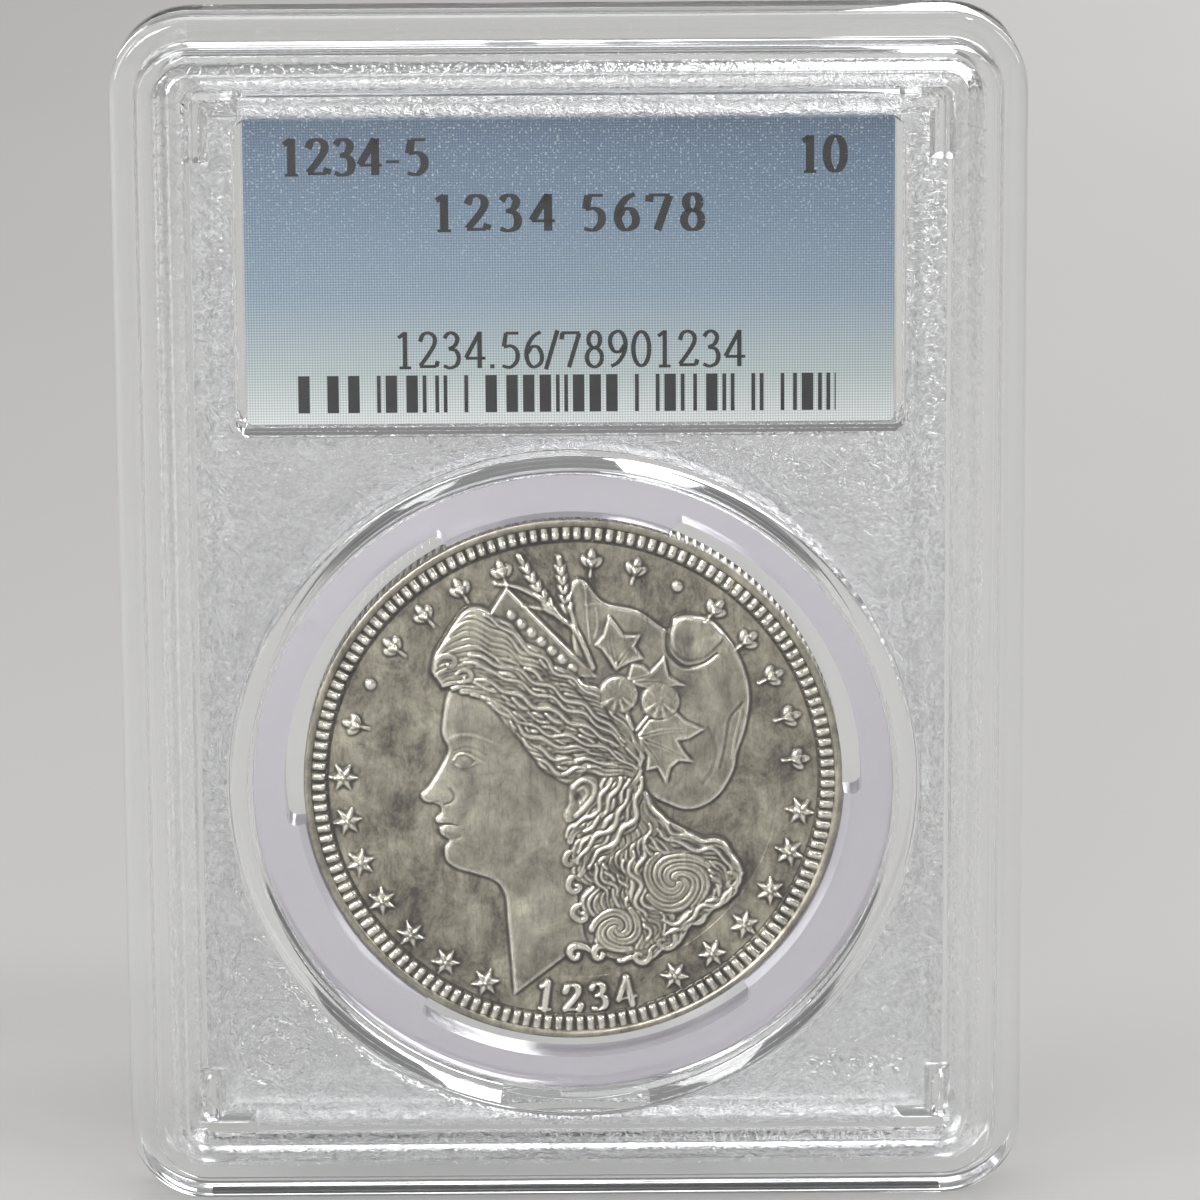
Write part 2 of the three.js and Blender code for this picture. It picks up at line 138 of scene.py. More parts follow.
def quads(rows, columns, close_rows=False, close_columns=True):
    """Quads between neighbours in a grid of points numbered row by row. close_rows joins the
    last row to the first, and close_columns joins each row's two ends."""
    index = np.arange(rows * columns).reshape(rows, columns)
    index = np.pad(index, ((0, close_rows), (0, close_columns)), "wrap")
    corners = index[:-1, :-1], index[:-1, 1:], index[1:, 1:], index[1:, :-1]
    return np.stack(corners, -1).reshape(-1, 4).tolist()


def turned_outward(points, faces):
    """The faces of a closed mesh, reversed if they point inwards."""
    p = np.asarray(points, float)
    volume = 0.0
    for face in faces:
        for b, c in zip(face[1:-1], face[2:]):
            volume += np.dot(p[face[0]], np.cross(p[b], p[c]))
    return faces if volume > 0 else [face[::-1] for face in faces]


def shade(obj, sharp_angle):
    """Smooth shading, except across edges sharper than an angle in degrees."""
    obj.data.polygons.foreach_set("use_smooth", [True] * len(obj.data.polygons))
    obj.data.set_sharp_from_angle(angle=math.radians(sharp_angle))


def new_object(name, points, faces, sharp_angle=30):
    """A mesh object from points in millimetres."""
    mesh = bpy.data.meshes.new(name)
    mesh.from_pydata((np.asarray(points, float) * MM).tolist(), [], faces)
    mesh.update()
    obj = bpy.data.objects.new(name, mesh)
    bpy.context.scene.collection.objects.link(obj)
    shade(obj, sharp_angle)
    return obj


def applied(obj, tools, operation):
    """obj cut by or joined with the tool objects, which are used up."""
    for tool in tools:
        modifier = obj.modifiers.new(tool.name, "BOOLEAN")
        modifier.operation = operation
        modifier.solver = "MANIFOLD"
        modifier.object = tool
    graph = bpy.context.evaluated_depsgraph_get()
    mesh = bpy.data.meshes.new_from_object(obj.evaluated_get(graph))
    obj.modifiers.clear()
    obj.data = mesh
    for tool in tools:
        bpy.data.objects.remove(tool)
    return obj


def rounded_loop(half_x, half_z, radius, steps=20):
    """(x, z) points of a rounded rectangle about its own middle, anticlockwise."""
    points = []
    for quarter, (way_x, way_z) in enumerate(((1, 1), (-1, 1), (-1, -1), (1, -1))):
        centre = way_x * (half_x - radius), way_z * (half_z - radius)
        points += arc(centre, radius, 90 * quarter, 90 * quarter + 90, steps)
    return points


def stacked(name, loops, heights, side, middle_z, cap=0):
    """A closed solid through (x, z) loops at given heights; cap is the last face's material."""
    count = len(loops[0])
    points = [(x, side * h, z + middle_z) for loop, h in zip(loops, heights) for x, z in loop]
    ends = [list(range(count))[::-1], list(range(len(points) - count, len(points)))]
    obj = new_object(name, points, turned_outward(points, quads(len(loops), count) + ends))
    obj.data.polygons[-1].material_index = cap
    return obj


def slab_loft(name, profile, side, cap=0):
    """A solid through the slab's outline at each (inset, height)."""
    loops = []
    for inset, _ in profile:
        radius = max(CORNER_RADIUS - inset, SMALLEST_RADIUS)
        loops.append(rounded_loop(SLAB_WIDTH / 2 - inset, SLAB_HEIGHT / 2 - inset, radius))
    return stacked(name, loops, [height for _, height in profile], side, SLAB_HEIGHT / 2, cap)


def slab_band(name, insets, heights, side):
    """A frame between two insets and two heights."""
    low, high = heights
    outer = slab_loft(name, [(insets[0], low), (insets[0], high)], side)
    hole = slab_loft(name + "_hole", [(insets[1], low - 1), (insets[1], high + 1)], side)
    return applied(outer, [hole], "DIFFERENCE")


def rectangle_prism(name, box, heights, side, radius=0.1):
    """A solid over the (left, bottom, right, top) box."""
    left, bottom, right, top = box
    loop = rounded_loop((right - left) / 2, (top - bottom) / 2, radius, steps=8)
    loop = [(x + (left + right) / 2, z) for x, z in loop]
    return stacked(name, [loop] * 2, heights, side, (bottom + top) / 2)


def turned(name, profile, side, steps=192):
    """A solid turned about the coin's axis, from a closed loop of (radius, height) points."""
    points = []
    for k in range(steps):
        c, s = polar(1, 360 * k / steps)
        points += [(radius * c, side * height, COIN_Z + radius * s) for radius, height in profile]
    faces = quads(steps, len(profile), close_rows=True)
    return new_object(name, points, turned_outward(points, faces))


# ---- materials


class Nodes:
    """A node tree and short ways to add to it. An input is a value, a socket, or None to leave it."""

    def __init__(self, owner):
        owner.use_nodes = True
        self.owner = owner
        self.tree = owner.node_tree

    def set(self, target, inputs):
        for key, value in inputs.items():
            socket = target.inputs[key]
            if isinstance(value, bpy.types.NodeSocket):
                self.tree.links.new(value, socket)
            elif value is not None:
                socket.default_value = (*value, 1) if socket.type == "RGBA" else value

    def add(self, kind, inputs, output=0, **settings):
        """An output of a new node."""
        made = self.tree.nodes.new("ShaderNode" + kind)
        for key, value in settings.items():
            setattr(made, key, value)
        self.set(made, inputs)
        return made.outputs[output]

    def math(self, operation, *values):
        return self.add("Math", dict(enumerate(values)), operation=operation)

    def scaled(self, vector, factors):
        return self.add("VectorMath", {0: vector, 1: factors}, operation="MULTIPLY")

    def ramp(self, value, low, high, to_low=0, to_high=1):
        """value moved from the range low..high to to_low..to_high, clamped."""
        return self.add("MapRange", {0: value, 1: low, 2: high, 3: to_low, 4: to_high}, clamp=True)


class Look(Nodes):
    """A material, with its shader and each point's place in millimetres."""

    def __init__(self, name):
        super().__init__(bpy.data.materials.new(name))
        self.shader = self.tree.nodes["Principled BSDF"]
        self.place = self.scaled(self.add("TexCoord", {}, "Object"), (1 / MM,) * 3)

    def part(self, axis):
        return self.add("SeparateXYZ", {0: self.place}, axis)

    def noise(self, scale, detail=2, roughness=0.5, distortion=0, place=None):
        inputs = {"Vector": place or self.place, "Scale": scale, "Detail": detail}
        return self.add("TexNoise", {**inputs, "Roughness": roughness, "Distortion": distortion}, "Fac")

    def mix(self, share, first, second):
        """A colour between two, at a share of the way."""
        return self.add("Mix", {0: share, 6: first, 7: second}, 2, data_type="RGBA")

    def gradient(self, share, stops):
        """The colour at a share of the way through (position, colour) stops."""
        colour = self.add("ValToRGB", {0: share})
        elements = colour.node.color_ramp.elements
        elements.remove(elements[1])
        for k, (position, rgb) in enumerate(stops):
            element = elements.new(position) if k else elements[0]
            element.color = (*rgb, 1)
        return colour

    def bump(self, height, distance, normal=None):
        inputs = {"Height": height, "Distance": distance * MM, "Strength": 1, "Normal": normal}
        return self.add("Bump", inputs)

    def lets_lamps_through(self, tint):
        """Makes the shadow of the glass only a light tint."""
        shadow = self.add("LightPath", {}, "Is Shadow Ray")
        clear = self.add("BsdfTransparent", {"Color": tint})
        surface = self.add("MixShader", {0: shadow, 1: self.shader.outputs[0], 2: clear})
        self.set(self.tree.nodes["Material Output"], {"Surface": surface})

    def finish(self, colour, roughness, normal=None, **more):
        """The material, with its shader's inputs set; in names, an underscore is a space."""
        inputs = {"Base Color": colour, "Roughness": roughness, "Normal": normal}
        self.set(self.shader, inputs | {key.replace("_", " "): more[key] for key in more})
        return self.owner


PLASTIC = {"Transmission_Weight": 1.0, "IOR": 1.49}


def polished_plastic():
    look = Look("clear_polished")
    look.lets_lamps_through((0.93, 0.935, 0.94))
    hairlines = look.ramp(look.noise(9, 3), 0.35, 0.8, 0.01, 0.05)
    ripple = look.bump(look.noise(0.12, 1), 0.05)
    return look.finish((0.985, 0.99, 0.995), hairlines, ripple, Specular_IOR_Level=0.4, **PLASTIC)


def textured_plastic(name, wisp_depth, fine_depth, thread_colour):
    """Clear plastic with the fine wispy grain of a spark-eroded mould."""
    look = Look(name)
    look.lets_lamps_through((0.88, 0.885, 0.89))
    wisps = look.ramp(look.noise(1.9, 3, 0.65, 1.2), 0.42, 0.62)
    grain = look.bump(look.noise(5, 3, 0.6), fine_depth, look.bump(wisps, wisp_depth))
    threads = look.ramp(look.noise(1.6, 2, 0.5, 2), 0.5, 0.58)
    return look.finish(look.mix(threads, (0.98, 0.985, 0.99), thread_colour), 0.12, grain, **PLASTIC)


def milky_plastic():
    look = Look("milky")
    look.lets_lamps_through((0.7, 0.68, 0.7))
    cloud = look.bump(look.noise(0.25), 0.1)
    return look.finish((0.88, 0.85, 0.9), 0.15, cloud, Transmission_Weight=0.6, IOR=1.45)


TEXTURED, SATIN = 1, 2
plastics = [
    polished_plastic(),
    textured_plastic("clear_textured", 0.1, 0.03, (0.78, 0.785, 0.8)),
    textured_plastic("clear_satin", 0.02, 0.012, (0.92, 0.925, 0.935)),
]


def finish_piece(obj, body, slot, *materials):
    """Gives the piece its materials and its body. The slot is not used."""
    indices = [face.material_index for face in obj.data.polygons]
    obj.data.materials.clear()
    for material in materials:
        obj.data.materials.append(material)
    obj.data.polygons.foreach_set("material_index", indices)
    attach(obj, body)


# ---- the shells

FRONT_RIM = [
    (0.1, 0.05, 0), (0, 0.15, 0), (0, 2.7, 0.65), (1.75, 2.7, 0.12), (2, 4, 0.4),
    (3.2, 4, 0.5), (4.2, 2.85, 0.2), (5.05, 2.85, 0.06), (5.3, 3, 0.06), (5.6, 3, 0),
]
BACK_RIM = [
    (0.1, 0.05, 0), (0, 0.15, 0), (0, 3, 0.65), (4.35, 3, 0.1), (4.7, 4, 0.3),
    (5.3, 4, 0.3), (5.6, 3, 0.1), (6, 3, 0),
]
OUTER_WALL_INSET = 3.6
WELD_WALL_INSETS = (5.8, 7.1)
GROOVE_INSETS = (2.35, 3.05)
GROOVE_DEPTH = 0.75
TONGUE_INSETS = (2.45, 2.95)
TONGUE_REACH = 0.6
EMBED = 0.6

POCKET_HALF_WIDTH = 22.7
POCKET_BOTTOM = 56.65
POCKET_TOP = SLAB_HEIGHT - WELD_WALL_INSETS[1]
POCKET_WALL = 0.6


def cavity(side):
    """All the room inside one shell, left around its walls."""
    low, high = -2.0, CAVITY_HEIGHT
    weld_outer, weld_inner = WELD_WALL_INSETS
    inner, outer = WELL_RADII
    room = slab_loft("room", [(weld_inner, low), (weld_inner, high)], side)
    well = turned("well", [(inner, low - 1), (outer, low - 1), (outer, high + 1), (inner, high + 1)], side)
    half, wall = POCKET_HALF_WIDTH, POCKET_WALL
    outside = (-half - wall, POCKET_BOTTOM - wall, half + wall, POCKET_TOP + wall)
    pocket = rectangle_prism("pocket", outside, (low - 1, high + 1), side, 0.7)
    inside = (-half, POCKET_BOTTOM, half, POCKET_TOP)
    hole = rectangle_prism("pocket_hole", inside, (low - 2, high + 2), side, 0.15)
    room = applied(room, [well, applied(pocket, [hole], "DIFFERENCE")], "DIFFERENCE")
    outer_room = slab_band("outer_room", (OUTER_WALL_INSET, weld_outer), (low, high), side)
    return applied(room, [outer_room], "UNION")


def coin_window(side, window_height, crest_height):
    """The polished disc over the coin, with a raised bead round it."""
    inner, outer = 22.6, 24.4
    path = filleted([
        (outer, FIELD_HEIGHT - EMBED, 0),
        (outer, FIELD_HEIGHT + 0.2, 0),
        (outer - 0.35, crest_height, 0.3),
        (inner + 0.35, crest_height, 0.3),
        (inner, window_height, 0.1),
        (inner - 1, window_height, 0),
    ])
    loops = [arc((0, 0), radius, steps=192)[:-1] for radius, _ in path]
    return stacked("coin_window", loops, [height for _, height in path], side, COIN_Z)


def label_window(side, height=3.1, edge=0.08):
    half_x = POCKET_HALF_WIDTH + POCKET_WALL
    bottom = POCKET_BOTTOM - POCKET_WALL
    half_z = (POCKET_TOP - bottom) / 2
    loops = [rounded_loop(half_x - d, half_z - d, 1.25 - d) for d in (0, 0, edge)]
    heights = (FIELD_HEIGHT - EMBED, height - edge, height)
    return stacked("label_window", loops, heights, side, bottom + half_z)


def corner_post(sign_x, sign_z):
    """An L-shaped stacking post at a corner of the front field, with sloping edges."""
    inset, arm, upright, foot, round_corner, bevel = 5.05, 1.8, 5.0, 3.9, 0.9, 0.5
    loops = []
    for d in (0, 0, bevel):
        far_x, far_z, width = foot - d, upright - d, arm - d
        outline = arc((round_corner,) * 2, round_corner - d, 180, 270, 8)
        outline += [(far_x, d), (far_x, width), (width, width), (width, far_z), (d, far_z)]
        x, z = SLAB_WIDTH / 2 - inset, SLAB_HEIGHT / 2 - inset
        loops.append([(sign_x * (x - u), sign_z * (z - v)) for u, v in outline])
    heights = (FIELD_HEIGHT - EMBED, HALF_THICKNESS - bevel, HALF_THICKNESS)
    return stacked("post", loops, heights, FRONT, SLAB_HEIGHT / 2)


def raised_mark(name, loop, middle):
    """A low moulded mark on the front field, over an (x, z) loop about its middle."""
    sink, rise = 0.3, 0.18
    loop = [(x + middle[0], z) for x, z in loop]
    return stacked(name, [loop] * 2, (FIELD_HEIGHT - sink, FIELD_HEIGHT + rise), FRONT, middle[1])


def moulded_marks():
    """Plain shapes where a maker would mould its marks: a target at the left, lozenges at the right."""
    target, lozenges, width = (-21.3, 11.3), (20.0, 10.1), 0.34
    marks = []
    for outer in (2.6, 1.4):
        for first in (8, 98, 188, 278):
            ends = first, first + 74, 16
            loop = arc((0, 0), outer, *ends) + arc((0, 0), outer - width, *ends)[::-1]
            marks.append(raised_mark("arc_mark", loop, target))
    for way_x, way_z in ((1, 0), (-1, 0), (0, 1), (0, -1)):
        half = (0.55, 0.17) if way_x else (0.17, 0.55)
        middle = (target[0] + way_x * 1.95, target[1] + way_z * 1.95)
        marks.append(raised_mark("tick", rounded_loop(*half, 0.1, 4), middle))
    for k in range(-2, 3):
        diamond = [(0.6, 0), (0, 1.2), (-0.6, 0), (0, -1.2)]
        marks.append(raised_mark("lozenge", diamond, (lozenges[0] + 1.45 * k, lozenges[1])))
    return marks


def satin_between(obj, insets, heights):
    """Gives the satin look to the front faces that lie between two insets and two heights."""
    for polygon in obj.data.polygons:
        x, y, z = polygon.center / MM
        inset = min(SLAB_WIDTH / 2 - abs(x), SLAB_HEIGHT / 2 - abs(z - SLAB_HEIGHT / 2))
        if insets[0] < inset < insets[1] and heights[0] < -y < heights[1]:
            polygon.material_index = SATIN


def front_shell():
    shell = slab_loft("front_shell_clear", filleted(FRONT_RIM), FRONT, TEXTURED)
    posts = [corner_post(sx, sz) for sx in (-1, 1) for sz in (-1, 1)]
    raised = [coin_window(FRONT, 3.2, 3.7), label_window(FRONT), *posts, *moulded_marks()]
    shell = applied(shell, raised, "UNION")
    groove = slab_band("groove", GROOVE_INSETS, (-1, GROOVE_DEPTH), FRONT)
    shell = applied(shell, [cavity(FRONT), groove], "DIFFERENCE")
    satin_between(shell, (3.0, 5.2), (2.8, HALF_THICKNESS))
    satin_between(shell, WELD_WALL_INSETS, (0, 0.1))
    return shell


def back_shell():
    shell = slab_loft("back_shell_clear", filleted(BACK_RIM), BACK, TEXTURED)
    shell = applied(shell, [coin_window(BACK, 3.1, 3.4), label_window(BACK)], "UNION")
    shell = applied(shell, [cavity(BACK)], "DIFFERENCE")
    tongue = slab_band("tongue", TONGUE_INSETS, (-TONGUE_REACH, EMBED), BACK)
    ribs = []
    for x in (-21.6, -7.2, 7.2, 21.6):
        box = (x - 0.4, POCKET_BOTTOM + 1, x + 0.4, POCKET_TOP - 1)
        ribs.append(rectangle_prism("rib", box, (-0.25, CAVITY_HEIGHT + EMBED), BACK))
    return applied(shell, [tongue, *ribs], "UNION")


SHARP_ANGLE = 28

for make, node_name in ((front_shell, "front_shell"), (back_shell, "back_shell")):
    shell = make()
    shade(shell, SHARP_ANGLE)
    finish_piece(shell, "holder", "clear_plastic", *plastics)
    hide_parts(node_name)

# ---- relief drawing


def spline(points, spacing=0.12):
    """Points along a smooth curve through the given ones, evenly spaced enough to draw."""
    p = np.asarray(points, float)
    padded = np.vstack([2 * p[0] - p[1], p, 2 * p[-1] - p[-2]])
    path = []
    for a, b, c, d in zip(padded, padded[1:], padded[2:], padded[3:]):
        count = max(2, int(np.linalg.norm(c - b) / spacing))
        t = np.arange(count)[:, None] / count
        bend = (2 * a - 5 * b + 4 * c - d) * t**2 + (3 * b - a - 3 * c + d) * t**3
        path.append(b + ((c - a) * t + bend) / 2)
    return np.vstack([*path, p[-1:]])


class Relief:
    """A square height map in millimetres about the coin's centre, drawn piece by piece."""

    STEP = 0.05
    HALF = 19.3

    def __init__(self):
        self.count = int(2 * self.HALF / self.STEP) + 1
        axis = np.linspace(-self.HALF, self.HALF, self.count)
        self.x, self.z = np.meshgrid(axis, axis)
        self.height = np.zeros_like(self.x)

    def window(self, points, margin):
        """The slice of the map round some points."""
        p = np.reshape(points, (-1, 2)) + self.HALF
        ends = np.floor((p.min(0) - margin) / self.STEP), np.ceil((p.max(0) + margin) / self.STEP) + 1
        low, high = np.clip(ends, 0, self.count).astype(int)
        return slice(low[1], high[1]), slice(low[0], high[0])

    def nearest(self, path, margin):
        """The map's part round a path, the distance to it, signed by side, and how far along
        it the nearest point lies. Places farther than the margin count as very far."""
        part = self.window(path, margin)
        shape = self.x[part].shape
        offset, along = np.full(shape, 1e9), np.zeros(shape)
        lengths = np.linalg.norm(np.diff(path, axis=0), axis=1)
        ends = np.cumsum(lengths)
        for a, b, length, end in zip(path, path[1:], lengths, ends):
            if length < 1e-9:
                continue
            near = self.window([a, b], margin)
            local = tuple(slice(n.start - p.start, n.stop - p.start) for n, p in zip(near, part))
            u, v = self.x[near] - a[0], self.z[near] - a[1]
            dx, dz = b - a
            t = np.clip((u * dx + v * dz) / length**2, 0, 1)
            distance = np.hypot(u - t * dx, v - t * dz)
            closer = distance < np.abs(offset[local])
            signed = np.where(dx * v - dz * u < 0, -distance, distance)
            offset[local] = np.where(closer, signed, offset[local])
            share = (end - length + t * length) / ends[-1]
            along[local] = np.where(closer, share, along[local])
        return part, offset, along

    def inside(self, outline, part):
        """Which places lie within a closed outline."""
        x, z = self.x[part], self.z[part]
        found = np.zeros(x.shape, bool)
        for (ax, az), (bx, bz) in zip(outline, np.roll(outline, -1, axis=0)):
            if az != bz:
                rows = slice(*np.searchsorted(z[:, 0], sorted((az, bz))))
                found[rows] ^= x[rows] < (bx - ax) * (z[rows] - az) / (bz - az) + ax
        return found

    def over(self, part, depth, height):
        """Lays a new height where depth, the distance in from its edge, is above zero."""
        cover = np.clip(depth / self.STEP + 0.5, 0, 1)
        self.height[part] += cover * (height - self.height[part])

    def mound(self, outline, edge, top, reach, smooth=True):
        """Fills an outline: up to edge at once, then rounded to top over a distance in."""
        closed = np.array([*outline, outline[0]], float)
        closed = spline(closed) if smooth else closed
        part, distance, _ = self.nearest(closed, reach + 0.1)
        distance = np.minimum(np.abs(distance), reach)
        depth = np.where(self.inside(closed[:-1], part), distance, -distance)
        rise = np.sqrt(1 - (1 - np.clip(depth / reach, 0, 1)) ** 2)
        self.over(part, depth, edge + (top - edge) * rise)

    def lock(self, points, width, base, strands, taper=0.35):
        """A lock of hair that narrows to its ends, with its strands as ridges along it."""
        part, offset, along = self.nearest(spline(points, 0.18), width)
        fullness = np.sin(np.pi * np.clip(along, 0.04, 0.96)) ** 0.5
        half = width / 2 * (taper + (1 - taper) * fullness)
        across = np.clip(offset / half, -1, 1)
        ridges = 0.5 + 0.5 * np.cos(np.pi * strands * (across + 1) - np.pi)
        crown = np.sqrt(1 - across**2) * (0.07 + 0.05 * ridges)
        self.over(part, half - np.abs(offset), base + crown)

    def stroke(self, points, width, height, end_width=None, smooth=True):
        """Adds a rounded line on top of what is there, or cuts one if height is negative."""
        end_width = end_width or width
        path = spline(points) if smooth else np.asarray(points, float)
        part, offset, along = self.nearest(path, max(width, end_width))
        half = (width + (end_width - width) * along) / 2
        self.height[part] += height * (1 - np.clip(np.abs(offset) / half, 0, 1) ** 2)

    def pen(self, path, widths, height):
        """A flat-topped raised line of changing width."""
        part, offset, along = self.nearest(path, max(widths))
        half = np.interp(along, np.linspace(0, 1, len(widths)), widths) / 2
        rise = np.clip((half - np.abs(offset)) / 0.08 + 0.3, 0, 1)
        self.height[part] = np.maximum(self.height[part], height * rise)

    def oval(self, centre, radii, angle, reach):
        """The map's part round a tilted ellipse, and the square of how far out each place is."""
        part = self.window([centre], reach)
        x, z = self.x[part] - centre[0], self.z[part] - centre[1]
        c, s = polar(1, angle)
        return part, ((x * c + z * s) / radii[0]) ** 2 + ((z * c - x * s) / radii[1]) ** 2

    def swell(self, centre, radii, angle, height):
        """Adds a soft round swelling, or a hollow if height is negative."""
        part, out = self.oval(centre, radii, angle, 2.6 * max(radii))
        self.height[part] += height * np.exp(-out)

    def dome(self, centre, radii, angle, height):
        """Adds an ellipsoid cap with a crisp edge."""
        part, out = self.oval(centre, radii, angle, max(radii))
        self.height[part] += height * np.sqrt(np.clip(1 - out, 0, 1))

    def softened(self, passes):
        """Rounds every edge a little, as a die does."""
        for _ in range(passes):
            p = np.pad(self.height, 1, mode="edge")
            around = p[:-2, 1:-1] + p[2:, 1:-1] + p[1:-1, :-2] + p[1:-1, 2:]
            self.height = (4 * self.height + around) / 8

    def at(self, x, z):
        """Heights at any places, between the map's own points."""
        u, v = [np.clip((a + self.HALF) / self.STEP, 0, self.count - 1.001) for a in (x, z)]
        i, j = u.astype(int), v.astype(int)
        u, v = u - i, v - j
        h = self.height
        low = h[j, i] * (1 - u) + h[j, i + 1] * u
        high = h[j + 1, i] * (1 - u) + h[j + 1, i + 1] * u
        return low * (1 - v) + high * v


def between(guides, share):
    """A path at a share of the way through a family of guide paths."""
    place = share * (len(guides) - 1)
    first = min(int(place), len(guides) - 2)
    a, b = np.array(guides[first:first + 2], float)
    return a + (b - a) * (place - first)


def waved(path, size, wave, phase):
    """The path with a sideways wave, of the given length, that dies away at both ends."""
    points = spline(path, 0.25)
    tangent = np.gradient(points, axis=0)
    tangent /= np.linalg.norm(tangent, axis=1)[:, None]
    share = np.linspace(0, 1, len(points))
    length = np.linalg.norm(np.diff(points, axis=0), axis=1).sum()
    sway = size * np.sin(2 * np.pi * share * length / wave + phase) * np.sin(np.pi * share) ** 0.5
    return points + np.column_stack([-tangent[:, 1], tangent[:, 0]]) * sway[:, None]


def trimmed(guides, share, rng, most):
    """A path through a family of guides, cut short at each end by up to a share of itself."""
    path = spline(between(guides, share), 0.25)
    first = int(len(path) * rng.uniform(0, most))
    last = len(path) - int(len(path) * rng.uniform(0, most))
    return path[first:last:3]


def tress(relief, guides, count, width, base, rng, wave, sway, loose=0):
    """Locks laid side by side through a family of guide paths, their waves nearly in step."""
    phase = rng.uniform(0, 6.3)
    for k in range(count):
        phase += rng.uniform(-0.25, 0.55)
        path = waved(trimmed(guides, k / (count - 1), rng, loose), sway, wave, phase)
        lift = rng.uniform(-0.015, 0.02)
        relief.lock(path, width * rng.uniform(0.8, 1.25), base + lift, 2)


def stray_locks(relief, guides, count, base, rng, wave, sway, width=0.5):
    """Single raised locks laid at random over a family of guide paths."""
    for _ in range(count):
        path = waved(trimmed(guides, rng.random(), rng, 0.42), sway, wave, rng.uniform(0, 6.3))
        relief.lock(path, width * rng.uniform(0.8, 1.2), base, 1, taper=0.15)


def curl(relief, centre, radius, start, turns, width, base, arms=1):
    """Locks that wind in on one point together; negative turns wind clockwise."""
    for arm in range(arms):
        points = []
        for t in np.linspace(0, 1, 16):
            degrees = start + 360 * (arm / arms + turns * t)
            r = radius * (1 - 0.9 * t) * (1 + 0.05 * math.sin(3 * math.radians(degrees) + start))
            x, z = polar(r, degrees)
            points.append((centre[0] + x, centre[1] + 0.92 * z))
        relief.lock(points, width, base + 0.01 * (arm % 2), 2, taper=0.45)


FACE = [
    (-8.2, 8.1), (-8.9, 6), (-9.15, 4.5), (-9.2, 3.4), (-8.8, 2.3), (-9.4, 0.9), (-10.2, -0.4),
    (-10.75, -1), (-10.5, -1.5), (-9.5, -1.75), (-9.35, -2.3), (-9.75, -2.8), (-9.6, -3.1),
    (-9.2, -3.22), (-9.5, -3.5), (-9.35, -3.95), (-8.85, -4.4), (-9.15, -5), (-9, -5.9), (-8.2, -6.5),
    (-6.9, -6.9), (-5.6, -7.4), (-4.9, -8.4), (-4.7, -10.5), (-4.5, -13), (-4.3, -15.9),
]


def face(relief):
    swell, stroke = relief.swell, relief.stroke
    back = [(-0.6, -13), (3, -12), (4, -6), (4, 2), (0, 7), (-5, 9.5)]
    outline = np.vstack([spline(FACE), back])
    relief.mound(outline, 0.09, 0.235, 4.6, smooth=False)
    # forehead, brow, cheekbone, cheek, jaw and neck
    swell((-7.3, 5.2), (2, 2.2), 0, 0.03)
    swell((-8, 3), (1.3, 0.5), -12, 0.022)
    swell((-6.4, -0.5), (1.6, 0.9), -25, 0.035)
    swell((-4.4, -3.2), (2.4, 2.2), 0, 0.045)
    swell((-4.4, -8.6), (2.8, 1.1), 12, -0.065)
    swell((-2.4, -5.6), (0.8, 2.6), -20, 0.02)
    swell((-1.6, -10), (2.4, 3.2), 0, 0.03)
    stroke([(-6.8, -6.75), (-5.2, -6.6), (-3.4, -5.9), (-1.9, -4.8)], 1, 0.018)
    # eye: socket, ball, lids and brow
    swell((-7.5, 1.55), (1.5, 0.85), -8, -0.055)
    swell((-8.5, 1.9), (0.6, 0.7), 0, -0.02)
    relief.dome((-7.75, 1.42), (0.62, 0.45), 0, 0.05)
    stroke([(-8.45, 1.5), (-8.1, 1.92), (-7.5, 1.95), (-6.75, 1.55), (-6.3, 1.3)], 0.24, 0.05, 0.12)
    stroke([(-8.3, 1.2), (-7.9, 0.98), (-7.35, 1.02), (-6.8, 1.35)], 0.18, 0.03, 0.1)
    stroke([(-8.35, 2.25), (-7.7, 2.5), (-6.9, 2.35), (-6.1, 1.9)], 0.2, -0.02)
    stroke([(-8.85, 2.95), (-8.1, 3.3), (-7, 3.35), (-5.7, 2.85)], 0.5, 0.022, 0.2)
    # nose: side plane and wing
    swell((-8.6, -0.4), (0.6, 1.3), 28, 0.02)
    stroke([(-8.75, -0.55), (-8.45, -1.05), (-8.65, -1.55), (-9.1, -1.7)], 0.26, -0.035)
    swell((-9.25, -1.2), (0.42, 0.38), 0, 0.035)
    stroke([(-10, -1.6), (-9.6, -1.5)], 0.26, -0.05)
    # lips and chin
    swell((-9, -2.85), (0.7, 0.26), 8, 0.022)
    stroke([(-9.35, -3.2), (-8.8, -3.16), (-8.2, -3.3)], 0.2, -0.05, 0.12)
    swell((-8.85, -3.6), (0.6, 0.24), -4, 0.022)
    stroke([(-9.3, -4.25), (-8.6, -4.25), (-8.1, -4.1)], 0.4, -0.018)
    swell((-8.3, -5.3), (0.85, 0.75), 0, 0.03)
    swell((-8.05, -3.3), (0.25, 0.3), 0, -0.012)


def ear(relief):
    relief.mound([(-0.7, -2.6), (-0.3, -1.6), (-0.2, -0.2), (0.6, 0.35), (1.6, 0.1), (1.8, -0.9),
                  (1.2, -2), (0.4, -2.8), (-0.4, -3.1)], 0.27, 0.31, 0.4)
    relief.stroke([(0, -0.5), (0.7, 0.05), (1.4, -0.2), (1.5, -1), (0.9, -1.9), (0.2, -2.6)], 0.42, 0.06)
    relief.stroke([(0.35, -0.7), (0.8, -0.5), (1, -1), (0.6, -1.6)], 0.3, 0.04)
    relief.swell((0.35, -1.25), (0.3, 0.42), 20, -0.13)
    relief.swell((-0.2, -2.5), (0.4, 0.4), 0, 0.03)


